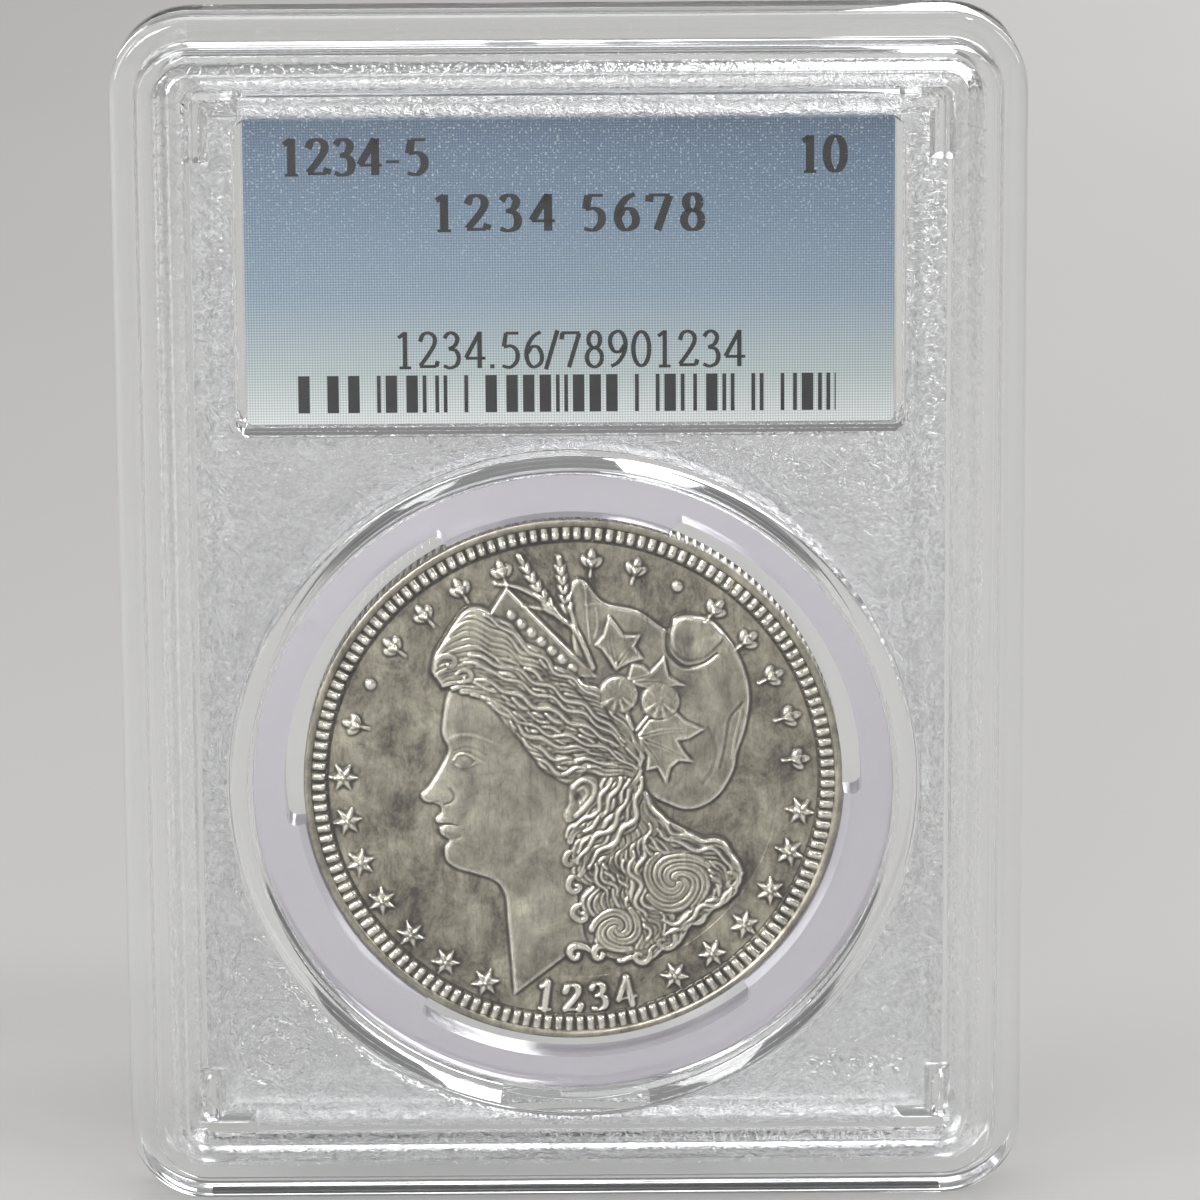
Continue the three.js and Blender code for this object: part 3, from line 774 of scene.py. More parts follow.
CAP = [
    (-0.2, 13.2), (0.1, 14.5), (0.9, 14.5), (2.2, 12.95), (4.6, 12.3), (6.7, 10.9), (7.2, 11.8), (8.4, 12),
    (9.9, 11.5), (11.3, 9.8), (12.2, 7.8), (12.5, 5.9), (12.2, 3.8), (11.6, 1.9), (11.3, 0.5), (10.2, -1.3),
    (8.5, -2.2), (6.9, -1.9), (4.9, -0.5), (3.5, 3), (0.5, 8),
]


def cap(relief):
    stroke = relief.stroke
    relief.mound(CAP, 0.11, 0.2, 3)
    relief.swell((8.2, 6), (3, 4.5), 0, 0.03)
    # the rolled fold at the top and the creases down the back
    stroke([(6.7, 10.9), (6.8, 9.3), (7.9, 8.3), (9.2, 8.5), (10.2, 9.2)], 0.5, -0.08, 0.2)
    relief.mound([(6.9, 10.6), (7.1, 9.5), (8, 8.8), (9.2, 8.9), (10, 9.6), (10.6, 10.5), (9.6, 11.5),
                  (8.4, 11.95), (7.3, 11.7)], 0.2, 0.3, 0.9)
    relief.swell((8.6, 10.2), (0.9, 0.6), 10, -0.07)
    stroke([(12, 5.6), (11.1, 4.4), (10.8, 2.6), (10.4, 0.8)], 0.34, -0.035, 0.2)
    stroke([(11.9, 4.9), (11.5, 3.2), (11.2, 1.5)], 0.26, 0.03)
    stroke([(9.6, 3.8), (10.1, 2.4), (9.9, 0.9), (9.2, -0.3)], 0.4, -0.022)
    stroke([(0.95, 14.4), (1.05, 12.4), (1.25, 10)], 0.16, 0.04)
    stroke([(0.95, 12.8), (2.1, 12.9)], 0.16, 0.03)
    stroke([(1.7, 12.6), (1.8, 11.4), (1.6, 10.4)], 0.16, 0.03)


def headband(relief):
    stroke = relief.stroke
    corners = [(-4.6, 14.1), (-5.8, 12.2), (-0.5, 7.6), (1.7, 7.5)]
    relief.mound(corners, 0.2, 0.235, 0.7, smooth=False)
    stroke([(-5.75, 12.25), (-3, 9.95), (-0.4, 7.65)], 0.2, 0.06)
    stroke([(-4.55, 14), (-1.6, 10.9), (1.65, 7.6)], 0.2, 0.06)
    stroke([(-4.6, 14.05), (-5.75, 12.25)], 0.2, 0.06)
    for k in range(7):
        share = (k + 0.7) / 7.3
        relief.dome((-4.75 + 5.2 * share, 12.55 - 4.75 * share), (0.36, 0.36), 0, 0.09)


def wheat_ear(relief, root, tip):
    root, tip = np.array(root), np.array(tip)
    direction = tip - root
    angle = math.degrees(math.atan2(direction[1], direction[0]))
    normal = np.array([-direction[1], direction[0]]) / np.linalg.norm(direction)
    relief.stroke([root, tip], 0.9, 0.12, 0.5)
    for k in range(5):
        middle = root + direction * (0.1 + 0.17 * k)
        size = 0.3 - 0.02 * k
        for side in (-1, 1):
            grain = middle + normal * side * size * 0.85
            relief.dome(grain, (0.46, size * 0.62), angle + side * 24, 0.1)
    relief.dome(tip - direction * 0.05, (0.4, 0.16), angle, 0.1)


LEAF_HEIGHT = 0.27


def leaf(relief, outline, *veins):
    """A leaf that rises to a crisp margin, grooved along its veins."""
    relief.mound(outline, LEAF_HEIGHT + 0.07, LEAF_HEIGHT, 0.6, smooth=False)
    for vein in veins:
        relief.stroke(vein, 0.5, 0.045, 0.2)
        relief.stroke(vein, 0.16, -0.06)


def boll(relief, centre, radius, root):
    """A cotton boll with its sepals drawn down to the stem."""
    centre, root = np.array(centre), np.array(root)
    for spread in (-0.5, 0, 0.5):
        relief.stroke([centre + (spread * radius, 0), (centre + 2 * root) / 3, root], 0.3, 0.05, 0.2)
    part = relief.window([centre], radius)
    x, z = relief.x[part] - centre[0], relief.z[part] - centre[1]
    rise = 0.09 * np.sqrt(np.clip(1 - (x**2 + z**2) / radius**2, 0, 1))
    tufts = 0.014 * np.sin(x * 19 + 2 * np.sin(z * 7)) * np.sin(z * 17 + 2 * np.sin(x * 5))
    relief.over(part, radius - np.hypot(x, z), LEAF_HEIGHT + rise + tufts)
    for degrees in (215, 250, 285, 320):
        way = np.array(polar(radius, degrees))
        relief.stroke([centre + way, centre + way / 4], 0.5, 0.04, 0.08)


def headdress(relief):
    stroke = relief.stroke
    stroke([(-5.4, 14.35), (-3.6, 14), (-1.9, 13), (-0.6, 11.6)], 0.25, 0.12, 0.7)
    wheat_ear(relief, (-1.5, 12.4), (-3.7, 16.3))
    wheat_ear(relief, (-0.3, 12.2), (-0.9, 16.2))
    stroke([(-3.4, 12.75), (-1.6, 12.3), (0.1, 11.1), (0.9, 9.6), (1.4, 8.2)], 0.3, 0.1, 0.5)
    stroke([(-0.2, 12.6), (0.5, 10.6), (1.5, 8.3)], 0.35, 0.08, 0.3)
    stroke([(-1.7, 13.6), (-1, 12.2), (0.2, 10.8)], 0.2, 0.06, 0.2)
    leaf(relief, [(3.1, 8.1), (2.1, 9.6), (1.6, 9.9), (2.2, 10.6), (2.6, 12), (3.2, 11.2), (3.6, 10.6),
                  (4.8, 10.6), (4.4, 9.8), (5, 8.9), (4, 8.6)],
         [(3.1, 8.2), (2.7, 10), (2.6, 11.6)], [(3.1, 8.3), (4.5, 10.3)], [(3, 8.4), (2, 9.9)])
    leaf(relief, [(3.9, 7.4), (4.2, 8.5), (5, 8.4), (5.5, 7.9), (6.5, 9), (6.8, 7.6), (8, 6.9),
                  (6.6, 6.9), (5.4, 6.7), (4.6, 6.9)],
         [(4.2, 7.3), (5.4, 7.7), (6.4, 8.6)], [(4.5, 7.2), (6.2, 7.2), (7.6, 6.9)])
    leaf(relief, [(4.6, 3.3), (5.4, 4.4), (6.4, 4.4), (7.4, 4.9), (8, 4.3), (9.3, 3.7), (8.2, 3),
                  (7.4, 2.9), (7.9, 2), (8.5, 1.3), (7.5, 1.4), (6.9, 0.9), (6.6, -0.3), (6, 0.9),
                  (5.2, 0.7), (5.3, 1.8), (4.8, 2.4)],
         [(4.8, 3.2), (6.6, 3.6), (9, 3.7)], [(5, 3), (6.6, 2.3), (8.2, 1.5)],
         [(4.9, 2.9), (5.9, 1.5), (6.5, 0)])
    boll(relief, (3.25, 6.3), 1.35, (4.3, 3.7))
    boll(relief, (6.2, 5.8), 1.35, (4.5, 3.6))


CROWN_GUIDES = [
    [(-8.9, 9.6), (-8, 11.6), (-6.2, 12.2), (-3.7, 10.3), (-1, 8), (1.6, 6.3), (3.6, 4.2), (4.9, 1.7)],
    [(-9.6, 8.9), (-8.6, 10.4), (-6.4, 10.5), (-3.6, 8.7), (-0.8, 6.9), (1.5, 5.4), (3.4, 3.6), (4.8, 1.5)],
    [(-9.7, 8), (-8.2, 8.8), (-6, 8.4), (-3.4, 7.2), (-0.7, 5.8), (1.6, 4.5), (3.3, 3), (4.7, 1.2)],
    [(-9.1, 7), (-7.6, 7.4), (-5.4, 6.8), (-3.2, 5.6), (-1, 4.6), (1.1, 3.6), (2.9, 2.6), (4.6, 1)],
    [(-6.4, 6.2), (-5.2, 5.6), (-4, 4.5), (-2.6, 3.6), (-0.9, 3.1), (1, 2.7), (2.8, 1.9), (4.5, 0.8)],
    [(-4.6, 4.7), (-3.6, 3.4), (-2.6, 2.3), (-1.5, 1.6), (0, 1.4), (1.5, 1.3), (3, 1.1), (4.4, 0.6)],
    [(-2.6, 2.2), (-2, 1.2), (-1.4, 0.5), (-0.4, 0.3), (0.6, 0.7), (1.8, 0.8), (3, 0.6), (4.2, 0.4)],
]
BEHIND_EAR_GUIDES = [
    [(4.3, 1.2), (2.9, 0.6), (2.2, -0.8), (1.4, -2.4), (0, -3.4), (-0.6, -4.6)],
    [(4.6, 0.9), (3.7, -0.4), (3.2, -2), (2.2, -3.4), (0.7, -4.6), (0, -6)],
    [(4.9, 0.4), (4.6, -1.4), (4.2, -3), (3, -4.4), (1.5, -5.8), (0.6, -7.4)],
]
NAPE_GUIDES = [
    [(2.2, -3.2), (0.9, -4.6), (0.4, -6.4), (1.4, -8), (1, -9.4), (2, -10.8), (1.6, -12.2)],
    [(3.4, -3.2), (2.2, -4.8), (2, -6.6), (3, -8.2), (2.8, -9.6), (3.8, -10.8), (3.6, -12.4)],
    [(4.4, -2.6), (4, -4.6), (3.6, -6.4), (4.4, -8.2), (4.4, -9.8), (5.4, -11), (5, -12.4)],
    [(5, -1.6), (5.7, -3.6), (5, -5.4), (4.8, -7.4), (5.4, -9.2), (6.8, -10.2), (6.4, -11.8)],
]
SWEEP_GUIDES = [
    [(5, -1), (6.2, -3.2), (7.8, -4.4), (9.6, -4.6), (11, -5.4), (11.9, -7)],
    [(4.8, -2.4), (6, -4.4), (7.8, -5.4), (9.4, -5.7), (10.8, -6.6), (11.3, -8)],
    [(4.4, -3.8), (5.4, -5.6), (7, -6.2), (9, -6.9), (10.2, -7.8), (10, -9.4)],
]
HEM_GUIDES = [
    [(11.9, -7), (10.9, -8.6), (9.2, -9.3), (7.8, -10.4), (6.6, -10.4), (5.4, -9.6)],
    [(11, -8.4), (9.6, -9.7), (8, -10.6), (7, -12), (5.4, -12.9), (3.2, -13.4)],
]
NAPE = [
    (0.3, -3.2), (-0.3, -5.2), (0.1, -7.4), (0.5, -9.8), (1, -12), (3, -13.3), (6, -12.8),
    (8.2, -10.6), (11.2, -8.4), (12, -7), (11, -5.3), (8.6, -4.1), (6.2, -2.6), (5.4, -1),
    (4.6, 1), (2.4, 0.6),
]
EDGE_CURLS = [
    ((-0.1, -5.9), 0.75, 60, 0.9), ((0.2, -7.8), 0.8, 90, 0.9), ((0.6, -9.9), 0.85, 100, 0.9),
    ((0.2, -12.9), 0.9, 20, 0.9), ((1.9, -12.9), 0.8, 40, 0.9), ((6.4, -11.9), 1, 60, -0.9),
    ((4.7, -13), 0.8, 30, -0.9), ((8.5, -10.1), 0.9, 60, -0.9), ((11.1, -7.6), 0.85, 100, -0.8),
]


def hair(relief):
    rng = random.Random(7)
    relief.mound(NAPE, 0.12, 0.21, 1.6)
    tress(relief, SWEEP_GUIDES, 9, 0.74, 0.2, rng, 2.4, 0.2)
    tress(relief, HEM_GUIDES, 7, 0.72, 0.19, rng, 2.2, 0.22)
    tress(relief, NAPE_GUIDES, 14, 0.74, 0.21, rng, 2.6, 0.3)
    stray_locks(relief, NAPE_GUIDES, 12, 0.25, rng, 2.4, 0.3)
    stray_locks(relief, SWEEP_GUIDES, 7, 0.24, rng, 2.4, 0.2)
    for centre, radius, start, turns in EDGE_CURLS:
        curl(relief, centre, radius, start, turns, 0.5, 0.21)
    curl(relief, (7.3, -7.5), 2.45, 120, 0.8, 0.85, 0.215, arms=4)
    curl(relief, (3.1, -11), 1.8, 60, -0.8, 0.75, 0.215, arms=3)
    stray_locks(relief, HEM_GUIDES, 5, 0.25, rng, 2.2, 0.2)
    tress(relief, BEHIND_EAR_GUIDES, 8, 0.74, 0.225, rng, 2.4, 0.2, loose=0.12)
    stray_locks(relief, BEHIND_EAR_GUIDES, 6, 0.265, rng, 2.4, 0.2)
    parting = [guide[0] for guide in CROWN_GUIDES[-2:0:-1]]
    relief.mound([*CROWN_GUIDES[0], *CROWN_GUIDES[-1][::-1], *parting], 0.2, 0.25, 1.5)
    tress(relief, CROWN_GUIDES, 25, 0.7, 0.235, rng, 2.7, 0.2)
    stray_locks(relief, CROWN_GUIDES, 26, 0.27, rng, 2.6, 0.2)
    curl(relief, (-8.7, 8.6), 0.95, 200, -0.9, 0.5, 0.26)
    curl(relief, (-7.5, 7.6), 0.75, 160, -0.9, 0.42, 0.26)


# ---- digits

SIX = [(0.41, 0.98), (0.24, 0.86), (0.1, 0.6), (0.07, 0.3), (0.15, 0.07), (0.27, 0.02), (0.41, 0.14),
       (0.43, 0.36), (0.34, 0.56), (0.2, 0.57), (0.09, 0.4)]

# Centre lines on a unit high body: a smooth one if it has over two points.
GLYPHS = {
    "0": [arc((0.25, 0.5), (0.19, 0.47))],
    "1": [[(0.25, 0), (0.25, 1)], [(0.09, 0.84), (0.25, 0.97)], [(0.11, 0.02), (0.39, 0.02)]],
    "2": [[(0.05, 0.73), (0.12, 0.92), (0.26, 0.97), (0.39, 0.86), (0.39, 0.66), (0.25, 0.38),
           (0.05, 0.07)], [(0.04, 0.05), (0.43, 0.05)], [(0.43, 0.05), (0.47, 0.2)]],
    "3": [[(0.07, 0.82), (0.16, 0.95), (0.28, 0.96), (0.38, 0.82), (0.32, 0.62), (0.17, 0.53)],
          [(0.17, 0.53), (0.34, 0.48), (0.41, 0.3), (0.36, 0.09), (0.2, 0.01), (0.05, 0.07)]],
    "4": [[(0.35, 0.98), (0.02, 0.28)], [(0.02, 0.27), (0.49, 0.27)], [(0.35, 1), (0.35, 0)]],
    "5": [[(0.13, 0.95), (0.44, 0.95)], [(0.14, 0.95), (0.09, 0.58)],
          [(0.09, 0.57), (0.26, 0.6), (0.4, 0.46), (0.4, 0.2), (0.25, 0.02), (0.05, 0.05)]],
    "6": [SIX],
    "7": [[(0.03, 0.95), (0.46, 0.95)], [(0.05, 0.95), (0.03, 0.77)], [(0.45, 0.94), (0.2, 0)]],
    "8": [arc((0.25, 0.755), (0.14, 0.22)), arc((0.25, 0.27), (0.18, 0.26))],
    "9": [[(0.5 - x, 1 - z) for x, z in SIX]],
    "-": [[(0.05, 0.36), (0.33, 0.36)]],
    ".": [[(0.12, -0.01), (0.12, 0.1)]],
    "/": [[(0, -0.05), (0.28, 1.02)]],
    " ": [],
}
NARROW = {"-": 0.42, ".": 0.28, "/": 0.32, " ": 0.3}
DIGIT_WIDTH = 0.56


def glyph(character, height, middle, thick, thin):
    """A glyph's strokes as (path, widths), drawn with a broad pen about its own middle."""
    strokes = []
    for line in GLYPHS[character]:
        path = spline(line, 0.04) if len(line) > 2 else np.linspace(*np.array(line, float), 8)
        way = np.gradient(path, axis=0)
        upright = np.abs(way[:, 1]) / np.maximum(np.linalg.norm(way, axis=1), 1e-9)
        widths = thin + (thick - thin) * upright**1.6
        strokes.append(((path - (middle / 2, 0.5)) * height, widths * height))
    return strokes


# ---- the label pack


def printed(name, ribbons, material):
    """Flat strokes given as (path, widths), each a thin closed plate on the front card."""
    back, front = card_low.y - 0.001, card_low.y - 0.016
    points, faces = [], []
    for path, widths in ribbons:
        way = np.gradient(path, axis=0)
        way /= np.linalg.norm(way, axis=1)[:, None]
        side = np.column_stack([-way[:, 1], way[:, 0]]) * widths[:, None] / 2
        plate = []
        for (x1, z1), (x2, z2) in zip(path + side, path - side):
            plate += [(x1, back, z1), (x1, front, z1), (x2, front, z2), (x2, back, z2)]
        count = len(plate)
        ends = [[3, 2, 1, 0], list(range(count - 4, count))]
        outward = turned_outward(plate, quads(len(path), 4) + ends)
        faces += [[len(points) + i for i in face] for face in outward]
        points += plate
    finish_piece(new_object(name, points, faces), "holder", "blue_label", material)


def text_ribbons(text, left, right, middle_z, thick):
    """The strokes of a line of digits that fills the width between left and right."""
    height, thin, widest = 2.6, 0.08, 1.3
    widths = [NARROW.get(character, DIGIT_WIDTH) for character in text]
    stretch = (right - left) / (sum(widths) * height)
    ribbons = []
    for character, width in zip(text, widths):
        step = width * height * stretch
        for path, pen in glyph(character, height, NARROW.get(character, 0.5), thick, thin):
            ribbons.append((path * (min(stretch, widest), 1) + (left + step / 2, middle_z), pen))
        left += step
    return ribbons


def barcode_ribbons(left, right, bottom, top, module=0.29):
    rng = random.Random(11)
    ribbons = []
    while left < right:
        bar = min(module * rng.choice((1, 1, 1, 3, 3)), right - left)
        middle = left + bar / 2
        ribbons.append((np.array([(middle, bottom), (middle, top)]), np.full(2, bar * 0.92)))
        left += bar + module * rng.choice((1, 1, 1, 2, 4))
    return ribbons


def ink():
    look = Look("black_ink")
    colour = look.gradient(look.noise(14), [(0, (0.002, 0.002, 0.003)), (1, (0.014, 0.014, 0.017))])
    return look.finish(colour, 0.5, Specular_IOR_Level=0.2)


def printed_card():
    """Blue print that fades to pale green-white in fine slanting dots, on a pearly card."""
    look = Look("printed_card")
    x, z = look.part("X"), look.part("Z")
    share = look.ramp(z, card_low.z, card_high.z)
    tone = look.gradient(share, [
        (0, (0.95, 0.97, 0.94)), (0.16, (0.52, 0.61, 0.59)), (0.42, (0.215, 0.32, 0.42)),
        (0.7, (0.11, 0.2, 0.3)), (0.9, (0.075, 0.14, 0.23)), (1, (0.045, 0.09, 0.155)),
    ])
    dot_pitch = 0.27
    turn = 2 * math.pi / (dot_pitch * math.sqrt(2))
    slants = [look.math("MULTIPLY_ADD", z, sign, x) for sign in (1, -1)]
    waves = [look.math("SINE", look.math("MULTIPLY", slant, turn)) for slant in slants]
    screen = look.ramp(look.math("MULTIPLY", *waves), -0.4, 0.5)
    amount = look.ramp(share, 0.1, 1, 0.34, 0.1)
    dark = look.mix(amount, tone, (0.02, 0.05, 0.08))
    light = look.mix(amount, tone, (0.95, 0.97, 0.97))
    flakes = look.ramp(look.noise(6, 1), 0.62, 0.7)
    sparkle = look.math("MULTIPLY", flakes, look.ramp(share, 0.25, 0.9))
    shine = look.math("MULTIPLY", sparkle, 0.7)
    colour = look.mix(shine, look.mix(screen, dark, light), (0.75, 0.83, 0.9))
    roughness = look.ramp(sparkle, 0, 1, 0.5, 0.25)
    return look.finish(colour, roughness, look.bump(look.noise(5), 0.01), Metallic=0.15)


def plain_card(name, colour):
    """Matt card with a faint fibre."""
    look = Look(name)
    fibre = look.noise(3, 4)
    tint = look.mix(look.ramp(fibre, 0.3, 0.7, 0, 0.2), colour, (0.6, 0.6, 0.6))
    return look.finish(tint, 0.6, look.bump(fibre, 0.01))


def foil(name, grey, roughness):
    """Thin rolled metal with fine drawn lines."""
    look = Look(name)
    drawn = look.noise(1, place=look.scaled(look.place, (0.6, 1, 9)))
    tint = look.mix(drawn, grey, [0.8 * c for c in grey])
    return look.finish(tint, roughness, look.bump(drawn, 0.01), Metallic=1.0)


def hologram_foil():
    """Foil whose hue runs in soft bands crossed by a fine lattice."""
    look = Look("hologram_foil")
    slant = look.math("MULTIPLY_ADD", look.part("X"), 0.11, look.noise(0.25))
    hue = look.math("FRACT", look.math("MULTIPLY_ADD", look.part("Z"), 0.09, slant))
    colour = look.add("CombineColor", {0: hue, 1: 0.35, 2: 0.85}, mode="HSV")
    lattice = look.add("TexVoronoi", {"Vector": look.place, "Scale": 1.6}, "Distance")
    tint = look.mix(look.ramp(lattice, 0.1, 0.6, 0, 0.35), colour, (0.9, 0.92, 0.95))
    return look.finish(tint, 0.24, look.bump(lattice, 0.02), Metallic=1.0)


def label_pack():
    black = ink()
    digits = [
        *text_ribbons("1234-5", -20.1, -9.6, 75.75, 0.22),
        *text_ribbons("10", 15.8, 19.3, 75.75, 0.22),
        *text_ribbons("1234 5678", -9.8, 9.7, 71.75, 0.22),
        *text_ribbons("1234.56/78901234", -12.3, 12.3, 62.05, 0.12),
    ]
    printed("label_digits", digits, black)
    printed("label_barcode", barcode_ribbons(-19.0, 18.5, 57.6, 60.25), black)
    looks = {
        "front_label_card": printed_card(),
        "rear_label_card": plain_card("rear_card", (0.78, 0.8, 0.82)),
        "nfc_carrier_film": plain_card("carrier_film", (0.8, 0.82, 0.8)),
        "nfc_antenna": foil("antenna_foil", (0.75, 0.76, 0.77), 0.35),
        "nfc_antenna_bridge": foil("bridge_foil", (0.7, 0.71, 0.72), 0.4),
        "nfc_chip": plain_card("chip_epoxy", (0.02, 0.02, 0.022)),
        "hologram_patch": hologram_foil(),
    }
    for name, material in looks.items():
        carried = frame["nodes"][name]
        carried.data.materials.clear()
        carried.data.materials.append(material)


label_pack()

# ---- the coin's ring


def ring_window(middle):
    """The cutter for one gap between the coin and the ring, with rounded outer corners."""
    inner, outer, round_corner, half = 18.0, 20.4, 0.75, 36.0
    corner = [
        (outer - round_corner * (1 - sine), half - math.degrees(round_corner / outer) * (1 - cosine))
        for cosine, sine in arc((0, 0), 1, 0, 90, 8)
    ]
    rim = [(outer, half * 0.94 * (1 - k / 24)) for k in range(1, 48)]
    mirrored = [(radius, -degrees) for radius, degrees in corner[::-1]]
    path = [(inner, -half), (inner, half), *corner, *rim, *mirrored]
    loop = [polar(radius, middle + degrees) for radius, degrees in path]
    return stacked("ring_window", [loop] * 2, (-3, 3), BACK, COIN_Z)


def pin_mark(degrees):
    """The cutter for a shallow round mark that an ejector pin leaves."""
    x, z = polar(21.6, degrees)
    loop = arc((x, 0), 0.5, steps=24)[:-1]
    return stacked("pin_mark", [loop] * 2, (RING_HALF - 0.07, RING_HALF + 1), FRONT, COIN_Z + z)


def coin_ring():
    """The translucent ring that holds the coin in the middle of its well."""
    profile = filleted([
        (RING_RADIUS, -RING_HALF, 0.25), (RING_RADIUS, RING_HALF, 0.25), (19.7, RING_HALF, 0.12),
        (19.2, 1.1, 0.05), (19.2, -1.3, 0), (18.9, -1.3, 0.05), (18.9, -RING_HALF, 0.12),
    ], steps=4)
    ring = turned("coin_ring_milky", profile, FRONT)
    cutters = [ring_window(degrees) for degrees in (33, 153, 273)]
    cutters += [pin_mark(degrees) for degrees in (268, 148, 28)]
    ring = applied(ring, cutters, "DIFFERENCE")
    shade(ring, SHARP_ANGLE)
    finish_piece(ring, "holder", "milky_plastic", milky_plastic())
    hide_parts("coin_ring")


coin_ring()

# ---- the coin

FIELD_Y = 0.82
RIM_HEIGHT = COIN_HALF - FIELD_Y
RELIEF_RADIUS = 17.3
SEAM_RADIUS = 14.6
DENTICLES = 148
REEDS = 189
REED_DEPTH = 0.12
INNER_Y = 0.3


def star(relief, degrees, radius, size):
    """A six-pointed star with a ridge to each point."""
    x, z = polar(radius, degrees)
    tips = [polar(size if k % 2 == 0 else size / 2, degrees + 30 * k) for k in range(12)]
    tips = [(x + u, z + v) for u, v in tips]
    relief.mound(tips, 0.1, 0.2, 0.3, smooth=False)
    for tip in tips[::2]:
        relief.stroke([(x, z), tip], 0.14, 0.05, smooth=False)


def sprig(relief, degrees, radius, size):
    """Three plain leaves on a short stem, standing out from the coin's centre."""
    out = np.array(polar(1, degrees))
    foot = out * (radius - size / 2)
    relief.stroke([foot, foot + out * size * 0.55], 0.24, 0.12)
    for lean, length in ((-43, 0.5), (0, 0.62), (43, 0.5)):
        way = np.array(polar(size, degrees + lean))
        middle = foot + out * size * 0.3 + way * length / 2
        relief.dome(middle, (size * length / 2, size * 0.15), degrees + lean, 0.16)
        relief.stroke([middle - way * 0.2, middle + way * 0.2], 0.1, -0.03)


def date(relief):
    """Plain digits in place of a date."""
    for k, digit in enumerate("1234"):
        degrees = -97.2 + 6.75 * k
        c, s = polar(1, degrees + 90)
        turn = np.array([[1.3 * c, 1.3 * s], [-s, c]])
        for path, widths in glyph(digit, 2.0, 0.5, 0.24, 0.09):
            relief.pen(path @ turn + polar(16.15, degrees), widths, 0.17)


def obverse():
    relief = Relief()
    for draw in (face, cap, headband, hair, ear, headdress):
        draw(relief)
    relief.softened(2)
    for degrees in [179 + 11.35 * k for k in range(7)] + [-8.6 - 11.05 * k for k in range(6)]:
        star(relief, degrees, 16.25, 1.0)
    for k in range(15):
        degrees = 165 - 160 * k / 14
        if k in (1, 9):
            relief.dome(polar(15.9, degrees), (0.4, 0.4), 0, 0.14)
        elif not 90 < degrees < 106:
            sprig(relief, degrees, 15.95, 2.1)
    date(relief)
    relief.softened(2)
    return relief


def branch(relief, side):
    """One side of the wreath: a stem with pairs of leaves, and half of its bow."""
    at = [np.array([side * 12 * math.sin(t), -12 * math.cos(t)]) for t in np.linspace(0.1, 2.6, 19)]
    relief.stroke(at, 0.5, 0.14, 0.2)
    for here, ahead in zip(at[1:], at[2:]):
        heading = math.degrees(math.atan2(*(ahead - here)[::-1]))
        for lean in (-32, 32):
            way = np.array(polar(1, heading + lean))
            relief.dome(here + way * 1.45, (1.5, 0.5), heading + lean, 0.2)
            relief.stroke([here, here + way * 2.7], 0.14, -0.05)
    bow = [(0.4 * side, -12.2), (2.4 * side, -10.8), (3 * side, -12.6), (0.5 * side, -12.4)]
    relief.stroke(bow, 0.7, 0.16)
    relief.stroke([(0.3 * side, -12.6), (1.6 * side, -14), (3.4 * side, -14.4)], 0.7, 0.14, 0.4)


def reverse():
    """A plain wreath round a rosette."""
    relief = Relief()
    branch(relief, -1)
    branch(relief, 1)
    relief.dome((0, -12.3), (0.8, 0.8), 0, 0.15)
    for degrees in range(0, 360, 45):
        relief.dome(polar(3, degrees), (2.6, 1.15), degrees, 0.24)
        relief.stroke([(0, 0), polar(5.4, degrees)], 0.2, -0.05)
        relief.stroke([polar(2, degrees + 22.5), polar(6.6, degrees + 22.5)], 0.5, 0.14, 0.2)
    relief.dome((0, 0), (1.3, 1.3), 0, 0.12)
    for degrees in range(0, 360, 6):
        relief.dome(polar(8.2, degrees), (0.28, 0.28), 0, 0.12)
    for k in range(0, 26, 2):
        sprig(relief, 360 * k / 26, 15.9, 1.7)
        star(relief, 360 * (k + 1) / 26, 15.9, 0.8)
    relief.softened(2)
    return relief


def wear_and_shade_map(relief):
    """How far each place stands above its surroundings: 0 in recesses, 1 on tops. Low values get shade
    painted into the recesses, high ones the rubbed silver.
    """
    around = Relief()
    around.height = relief.height.copy()
    around.softened(30)
    around.height = np.clip(0.4 + (relief.height - around.height) / 0.05, 0, 1)
    around.softened(1)
    return around


def grid_solid(name, x, z, y, side, faces, wear_and_shade):
    """A smooth closed piece from points on one side of the coin, with how far each stands out, which sets
    its wear and its painted shade.
    The reverse is upside down to the obverse."""
    points = np.column_stack([np.ravel(x), side * np.ravel(y), COIN_Z - side * np.ravel(z)])
    a, b, c = points[faces[0][:3]]
    if np.cross(b - a, c - a)[1] * side < 0:
        faces = [face[::-1] for face in faces]
    obj = new_object(name, points, faces, 65)
    # The wear_and_shade attribute: the material paints shade where it is low and shows rubbed silver where
    # it is high.
    attribute = obj.data.attributes.new("wear_and_shade", "FLOAT", "POINT")
    attribute.data.foreach_set("value", np.ravel(wear_and_shade).astype(np.float32))
    return obj


def ring_solid(name, x, z, y, side, wear_and_shade):
    """A closed ring from rows of points that go once round it, each row next to the one before."""
    return grid_solid(name, x, z, y, side, quads(*x.shape, close_rows=True), wear_and_shade)


